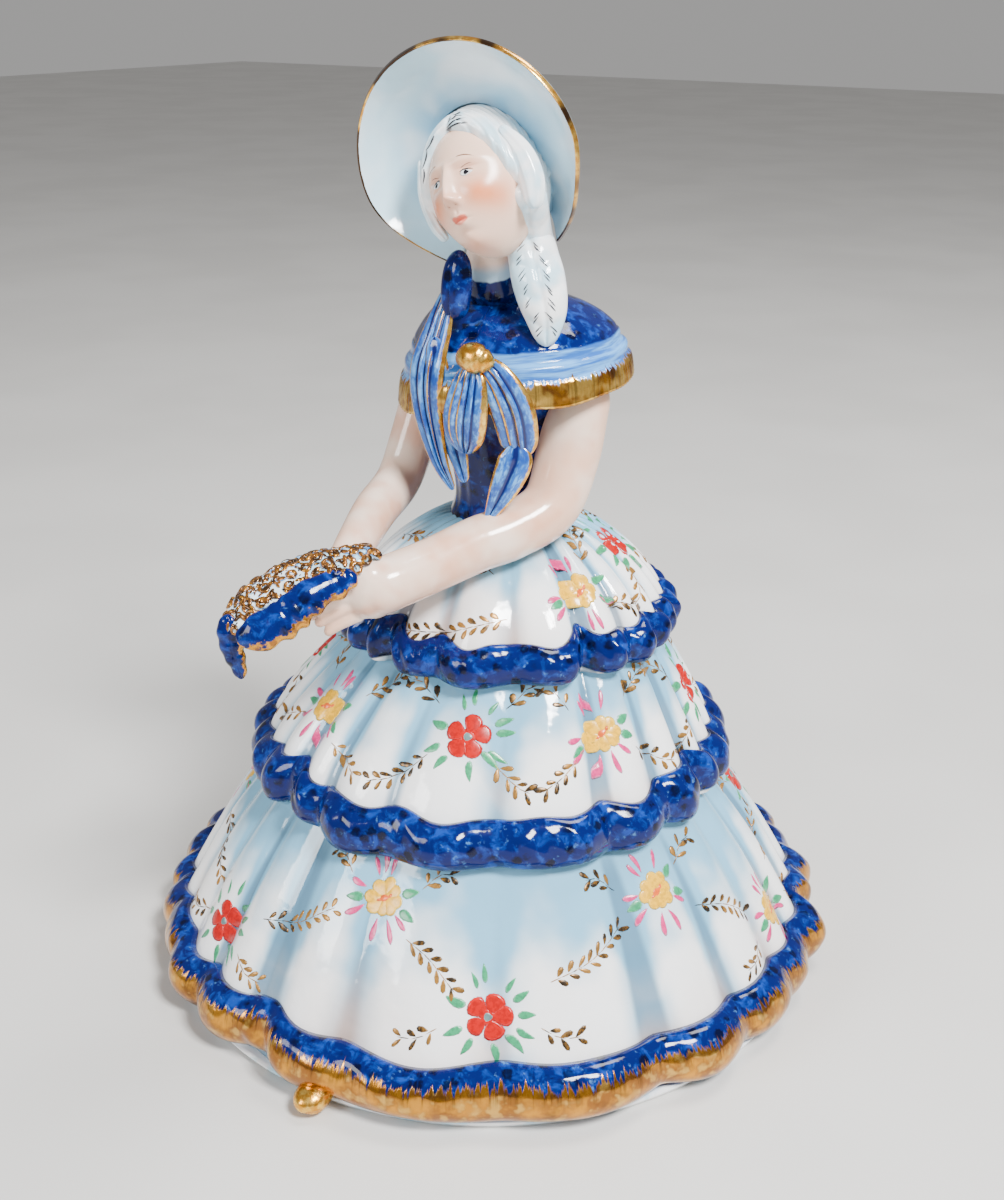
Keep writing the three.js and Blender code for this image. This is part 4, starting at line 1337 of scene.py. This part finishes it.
red = enamel_brush("red_petals", (0.48, 0.0015, 0.0015, 1), (0.66, 0.012, 0.01, 1), facets=16)
yellow = enamel_brush("yellow_petals", (0.86, 0.45, 0.008, 1), (0.9, 0.66, 0.12, 1), facets=14)
orange = enamel_brush("orange_hearts", (0.78, 0.12, 0.015, 1), (0.88, 0.36, 0.08, 1), relief=0.16)
pink = enamel_brush("pink_strokes", (0.68, 0.04, 0.2, 1), (0.86, 0.32, 0.5, 1))
leaf_green = enamel_brush("green_leaves", (0.03, 0.3, 0.13, 1), (0.26, 0.64, 0.42, 1))
grey_heart = enamel_brush("grey_hearts", (0.12, 0.2, 0.2, 1), (0.6, 0.7, 0.7, 1), relief=0.16)
sprig = Brush("gilt_sprigs", enamel("gilt_sprigs", gold_enamel, IOR=1.5), "gilding", 8, 0.1)
hair_line = enamel_brush("hair_lines", (0.03, 0.035, 0.045, 1), (0.3, 0.32, 0.36, 1), facets=18, relief=0.16)
brow_line = enamel_brush("brow_lines", (0.25, 0.12, 0.07, 1), (0.6, 0.42, 0.34, 1), "bisque_flesh", 18, 0.07)
eye_dark = enamel_brush("eye_lines", (0.006, 0.006, 0.01, 1), (0.05, 0.04, 0.05, 1), "bisque_flesh", 18, 0.04)
eye_white = enamel_brush("eye_whites", (0.85, 0.86, 0.88, 1), (0.8, 0.74, 0.72, 1), "bisque_flesh", 18, 0.03)
BRUSHES = (
    red, yellow, orange, pink, leaf_green, grey_heart, sprig, hair_line, eye_white, eye_dark, brow_line,
)
dice = np.random.default_rng(7)


def gown_spot(outline, degrees, share):
    """A place on the gown, with the ways across, up and out of it."""
    angle = math.radians(degrees)
    here = gown_point(outline, angle, share, 0, 0)
    across = unit(gown_point(outline, angle + 0.01, share, 0, 0) - here)
    up = unit(gown_point(outline, angle, share + 0.01, 0, 0) - here)
    return here, across, up, np.cross(across, up)


# Strokes round a flower's heart: which way in degrees, how far out, how long and how broad.
RED_LEAVES = (
    (62, 8.2, 4.2, 1.5), (88, 9.4, 4.6, 1.6), (115, 8.4, 4.0, 1.4), (30, 8.2, 4.6, 2.2), (5, 8.2, 4.4, 2.2),
    (160, 8.0, 5.2, 2.7), (195, 8.4, 5.0, 2.3), (232, 7.8, 4.6, 2.1), (278, 8.0, 5.0, 2.1),
    (318, 8.0, 6.0, 2.4), (340, 8.6, 5.0, 2.0),
)
PINK_RAYS = (
    (78, 7.4, 5.0, 1.5), (98, 8.0, 5.4, 1.4), (118, 7.2, 4.6, 1.4), (172, 6.8, 4.4, 1.9),
    (218, 7.2, 5.6, 1.9), (262, 7.4, 5.8, 1.8), (292, 7.6, 6.2, 1.7), (328, 7.0, 4.8, 1.6),
)


def round_heart(way, far, tall=None):
    """The place that lies way degrees round a flower's heart and far from it, on an oval if tall says how
    far it is upwards."""
    turn = math.radians(way)
    return far * math.cos(turn), (far if tall is None else tall) * math.sin(turn)


def paint_red_flower(spot):
    start = dice.uniform(0, 72)
    for petal in range(5):
        way = start + petal * 72 + dice.uniform(-6, 6)
        red.stroke(spot, *round_heart(way, 3.0, 2.9), way + 180, 5.0, 5.2 + dice.uniform(-0.4, 0.4))
    red.stroke(spot, 0, 0, 0, 4.2, 4.2)
    grey_heart.stroke(spot, 0, 0, 0, 2.4, 2.6)
    for way, far, long, broad in RED_LEAVES:
        way = way + dice.uniform(-8, 8)
        leaf_green.stroke(spot, *round_heart(way, far), way, long, broad, dice.uniform(-0.08, 0.08))


def paint_yellow_flower(spot):
    for petal in range(8):
        way = petal * 45 + dice.uniform(-9, 9)
        far = dice.uniform(1.9, 3.0)
        yellow.stroke(spot, *round_heart(way, far), way + 180, 4.6, 3.8)
    orange.stroke(spot, 0.1, 0, 20, 2.8, 2.2)
    orange.stroke(spot, 1.4, 0.8, 60, 1.4, 1.1)
    orange.stroke(spot, -1.2, -0.7, 200, 1.5, 1.0)
    for way, far, long, broad in PINK_RAYS:
        way = way + dice.uniform(-12, 12)
        pink.stroke(spot, *round_heart(way, far), way + 180, long, broad, dice.uniform(-0.08, 0.08))
    for way, far in ((195, 6.8), (22, 6.6), (345, 7.2)):
        way = way + dice.uniform(-10, 10)
        leaf_green.stroke(spot, *round_heart(way, far), way, 4.6, 2.8)


def paint_sprig(outline, path, step=2.5):
    """Gilt leaves in pairs along a line of (degrees, share) points on the gown."""
    places = np.array([gown_point(outline, math.radians(a), s, 0, 0) for a, s in path])
    line = smooth_line(np.column_stack([places, np.array(path)]), 200)
    length = np.linalg.norm(np.diff(line[:, :3], axis=0), axis=1).sum()
    count, last = max(2, int(length / step)), len(line) - 1
    for k in range(count):
        along = int((k + 0.5) / count * last)
        here, ahead = line[along], line[min(last, along + 4)]
        spot = gown_spot(outline, here[3], here[4])
        _, across, up, _ = spot
        way = ahead[:3] - here[:3]
        heading = math.degrees(math.atan2(way @ up, way @ across))
        sprig.stroke(spot, 0, 0, heading, step * 1.2, 0.3)
        for side in (-1, 1):
            way = math.radians(heading + side * dice.uniform(30, 48))
            far = 1.7 + dice.uniform(-0.2, 0.3)
            x, y = far * math.cos(way), far * math.sin(way)
            long, broad = 3.0 + dice.uniform(-0.5, 0.5), 1.35 + dice.uniform(-0.2, 0.35)
            sprig.stroke(spot, x, y, math.degrees(way) + 180, long, broad)


# Where each flower is: degrees round from her front to her left, share up the tier, and its colour.
FLOWERS = {
    "lower": [
        (-25, 0.36, "red"), (12, 0.74, "yellow"), (35, 0.37, "red"), (72, 0.69, "yellow"),
        (102, 0.34, "yellow"), (128, 0.7, "red"), (158, 0.37, "yellow"), (190, 0.72, "yellow"),
        (220, 0.36, "red"), (262, 0.7, "yellow"), (300, 0.72, "yellow"),
    ],
    "middle": [
        (-25, 0.54, "yellow"), (26, 0.61, "red"), (66, 0.57, "yellow"), (115, 0.5, "red"),
        (160, 0.57, "yellow"), (205, 0.58, "red"), (250, 0.56, "yellow"), (292, 0.58, "red"),
    ],
    "upper": [
        (67, 0.45, "yellow"), (115, 0.6, "red"), (165, 0.46, "yellow"), (215, 0.58, "red"),
        (265, 0.46, "yellow"),
    ],
}


def garland(outline, start, reach, *points):
    """A sprig that sets off from start degrees; points are (share of the reach, share up the tier)."""
    paint_sprig(outline, [(start + reach * part, share) for part, share in points])


def paint_tier(level):
    """A tier's flowers, the garlands that swing between them, and on the lower tier a tendril on both
    sides of each flower."""
    outline, flowers = OUTLINES[level], FLOWERS[level]
    for degrees, share, kind in flowers:
        spot = gown_spot(outline, degrees, share)
        (paint_red_flower if kind == "red" else paint_yellow_flower)(spot)
    for (a, low, _), (b, high, _) in zip(flowers, flowers[1:] + [(flowers[0][0] + 360, *flowers[0][1:])]):
        reach, climb, middle = b - a, high - low, (low + high) / 2
        lift = 0.1 if level == "lower" else 0.2
        if level == "lower" and abs(climb) > 0.15:
            rising = ((0.3, low + climb * 0.34), (0.52, low + climb * 0.5), (0.74, low + climb * 0.78))
            garland(outline, a, reach, *rising)
            continue
        for end, way, share in ((a, reach, low), (b, -reach, high)):
            top = ((0.24, share + lift * 0.7), (0.4, middle + lift * 1.25), (0.5, middle + lift * 1.3))
            garland(outline, end, way, *top)
        garland(outline, a, reach, (0.22, low - 0.12), (0.36, middle - 0.2), (0.46, middle - 0.25))
        garland(outline, b, -reach, (0.2, high - 0.1), (0.34, middle - 0.2), (0.46, middle - 0.25))
    if level == "lower":
        for degrees, share, _ in flowers:
            bend = -0.07 if share < 0.5 else 0.09
            for side in (-1, 1):
                tendril = ((8.5, share + bend * 0.6), (12, share + bend * 1.2), (15.5, share + bend * 1.3))
                garland(outline, degrees, side, *tendril)


for level in OUTLINES:
    paint_tier(level)


def tree_of(piece):
    """A piece's faces, sorted for finding where a ray meets them."""
    mesh = piece.data
    return BVHTree.FromPolygons([v.co[:] for v in mesh.vertices], [p.vertices[:] for p in mesh.polygons])


face_tree, hair_tree, plait_tree = tree_of(face), tree_of(hair), tree_of(plait)
HEAD_AXES = np.array(HEAD_TURN)


def head_spot(tree, x, z, reach=40):
    """The place on her head straight back from a point in front of it, in the head's own frame."""
    start = from_head([(x, -reach, z)])[0]
    way = HEAD_AXES @ (0, 1, 0)
    place, _, _, _ = tree.ray_cast(Vector(start * MM), Vector(way))
    return np.array(place) / MM, HEAD_AXES @ (1, 0, 0), HEAD_AXES @ (0, 0, 1), HEAD_AXES @ (0, -1, 0)


for side in (-1, 1):
    eye = head_spot(face_tree, side * EYE[0], EYE[1])
    outward = 0 if side > 0 else 180
    eye_white.stroke(eye, 0, 0, outward, 3.3, 1.7)
    eye_dark.stroke(eye, -side * 0.1, 0.05, 0, 1.5, 1.55)
    eye_dark.stroke(eye, side * 0.1, 0.8, outward, 3.7, 0.45, -0.12 * side)
    brow_line.stroke(eye, side * 0.1, 1.55, outward, 3.4, 0.24, -0.1 * side)
    brow_line.stroke(eye, side * 0.3, 3.4, outward, 4.8, 0.6, -0.11 * side)
    brow_line.stroke(head_spot(face_tree, side * 0.85, -6.3), 0, 0, 0, 0.6, 0.35)
for x, z, way, long in (
    (2.6, 10.6, -4, 6.4), (2.4, 11.5, 8, 5.4), (2.0, 12.4, 18, 4.4), (1.6, 13.2, 26, 3.4),
    (-4.6, 9.2, 215, 4.4), (-6.8, 6.6, 236, 4.4), (-8.2, 3.6, 250, 3.2),
):
    hair_line.stroke(head_spot(hair_tree, x, z), 0, 0, way, long, 0.5, -0.08)
plait_place = Place("left_braid")
UPRIGHT = np.array([0, 0, 1.0])
PLAIT_OUT = unit(np.array([0.5, -0.86, 0.05]))
PLAIT_ACROSS = unit(np.cross(UPRIGHT, PLAIT_OUT) * -1)
for row in range(7):
    for side in (-1, 1):
        up = 0.9 - row * 0.125
        middle = plait_place.at(0.3 + 0.5 * (1 - up), 0.5, up)
        start = middle + PLAIT_ACROSS * side * (2.5 if 0 < row < 5 else 1.5) + PLAIT_OUT * 30
        place, _, _, _ = plait_tree.ray_cast(Vector(start * MM), Vector(-PLAIT_OUT))
        if place is not None:
            spot = (np.array(place) / MM, PLAIT_ACROSS, UPRIGHT, PLAIT_OUT)
            for y in (-0.5, 0.5):
                x, way = dice.uniform(-0.3, 0.3), 90 + side * 42 + dice.uniform(-8, 8)
                hair_line.stroke(spot, x, y, way, 2.6 + dice.uniform(-0.8, 0.6), 0.36)

canvas = hold("canvas", gather([piece.data for piece in (*tiers.values(), face, hair, plait)]))
strokes_tree = brush_tree()
for brush in BRUSHES:
    brush.paint(canvas, strokes_tree)
bpy.data.objects.remove(canvas)


def lace_tree(shape):
    """Scatters little rings or flattened beads of slip over the upper side of a surface."""
    tree, (surface, gap, size, seed, material) = new_growth(
        f"lace_of_{shape}", ("Gap", "Float"), ("Size", "Float"), ("Seed", "Int"), ("Glaze", "Material")
    )
    scatter, settings = "GeometryNodeDistributePointsOnFaces", {"distribute_method": "POISSON"}
    normal, face_up = tree.node("GeometryNodeInputNormal"), tuple(unit(np.array(fan_face)))
    out = vector(tree, "DOT_PRODUCT", normal, face_up, out="Value")
    upper = out.math("GREATER_THAN", out, 0.1)
    values = {"Mesh": surface, "Distance Min": gap, "Density Max": 4e6, "Seed": seed, "Selection": upper}
    points, turn = tree.node(scatter, settings, values, out=("Points", "Rotation"))
    if shape == "rings":
        circle = "GeometryNodeCurvePrimitiveCircle"
        hoop = tree.node(circle, None, {"Resolution": 8, "Radius": 1.0}, out="Curve")
        cord = tree.node(circle, None, {"Resolution": 6, "Radius": 0.5}, out="Curve")
        form = tree.node("GeometryNodeCurveToMesh", None, {"Curve": hoop, "Profile Curve": cord})
    else:
        form = tree.node("GeometryNodeMeshIcoSphere", None, {"Radius": 1.0, "Subdivisions": 2}, out="Mesh")
        form = tree.node("GeometryNodeTransform", None, {"Geometry": form, "Scale": (1.5, 0.75, 0.5)})
    place = tree.node("GeometryNodeInputPosition")
    form = store(tree, form, "rise", tree.node("ShaderNodeSeparateXYZ", None, {0: place}, out="Z"))
    values = {0: (-0.2, -0.2, 0), 1: (0.2, 0.2, 6.28), "Seed": seed}
    spin = tree.node("FunctionNodeRandomValue", {"data_type": "FLOAT_VECTOR"}, values, out=0)
    settings, values = {"rotation_space": "LOCAL"}, {"Rotation": turn, "Rotate By": spin}
    turn = tree.node("FunctionNodeRotateRotation", settings, values)
    values = {2: 0.65, 3: 1.35, "Seed": seed}
    scale = tree.node("FunctionNodeRandomValue", {"data_type": "FLOAT"}, values, out=1)
    values = {"Points": points, "Instance": form, "Rotation": turn, "Scale": scale * size}
    forms = tree.node("GeometryNodeInstanceOnPoints", None, values)
    return end_growth(tree, tree.node("GeometryNodeRealizeInstances", None, {0: forms}), material)


crust = [
    grow(name, fan.copy(), lace_tree(shape), Gap=gap * MM, Size=size * MM, Seed=seed, Glaze=lace_paint)
    for name, shape, gap, size, seed in (
        ("rosettes", "rings", 2.9, 0.85, 5), ("petals", "beads", 1.5, 0.72, 8),
        ("crumbs", "beads", 1.1, 0.3, 3),
    )
]
lace = gather(crust)
lace.shade_smooth()
settle("fan_lace", lace, lace_paint, "gilding")

# ---------------------------------------------------------------- stage, light and camera
floor_mesh = bpy.data.meshes.new("table")
reach = 3
corners = [(-reach, -reach, 0), (reach, -reach, 0), (reach, reach, 0), (-reach, reach, 0)]
floor_mesh.from_pydata(corners, [], [(0, 1, 2, 3)])
floor_mesh.materials.append(enamel("table_paint", floor_paint))
table = hold("table", floor_mesh)


def softbox(name, azimuth, height, distance, size, power):
    """A lit panel that looks at her waist, azimuth degrees from her front to her left."""
    lamp = bpy.data.lights.new(name, "AREA")
    lamp.shape = "RECTANGLE"
    lamp.size, lamp.size_y = size
    lamp.energy = power
    box = bpy.data.objects.new(name, lamp)
    turn_angle = math.radians(azimuth)
    box.location = (math.sin(turn_angle) * distance, -math.cos(turn_angle) * distance, height)
    box.rotation_euler = (Vector((0, 0, 0.1)) - box.location).to_track_quat("-Z", "Y").to_euler()
    bpy.context.scene.collection.objects.link(box)


softbox("key_light", azimuth=70, height=0.8, distance=0.62, size=(0.22, 0.22), power=22)
softbox("fill_light", azimuth=-20, height=0.5, distance=0.95, size=(0.4, 0.3), power=6)
softbox("top_light", azimuth=150, height=1.0, distance=0.4, size=(0.3, 0.3), power=7)
world = bpy.data.worlds.new("studio")
world.use_nodes = True
sky = world.node_tree.nodes["Background"].inputs
sky["Color"].default_value = (0.9, 0.89, 0.88, 1)
sky["Strength"].default_value = 0.42
bpy.context.scene.world = world

camera_data = bpy.data.cameras.new("camera")
camera_data.lens = 45
camera_data.sensor_width = 36
camera = bpy.data.objects.new("camera", camera_data)
looking_down, looking_round = 22.7, 35  # degrees
camera.location = (0.1956, -0.2744, 0.232)
camera.rotation_euler = (math.radians(90 - looking_down), 0, math.radians(looking_round))
bpy.context.scene.collection.objects.link(camera)
bpy.context.scene.camera = camera
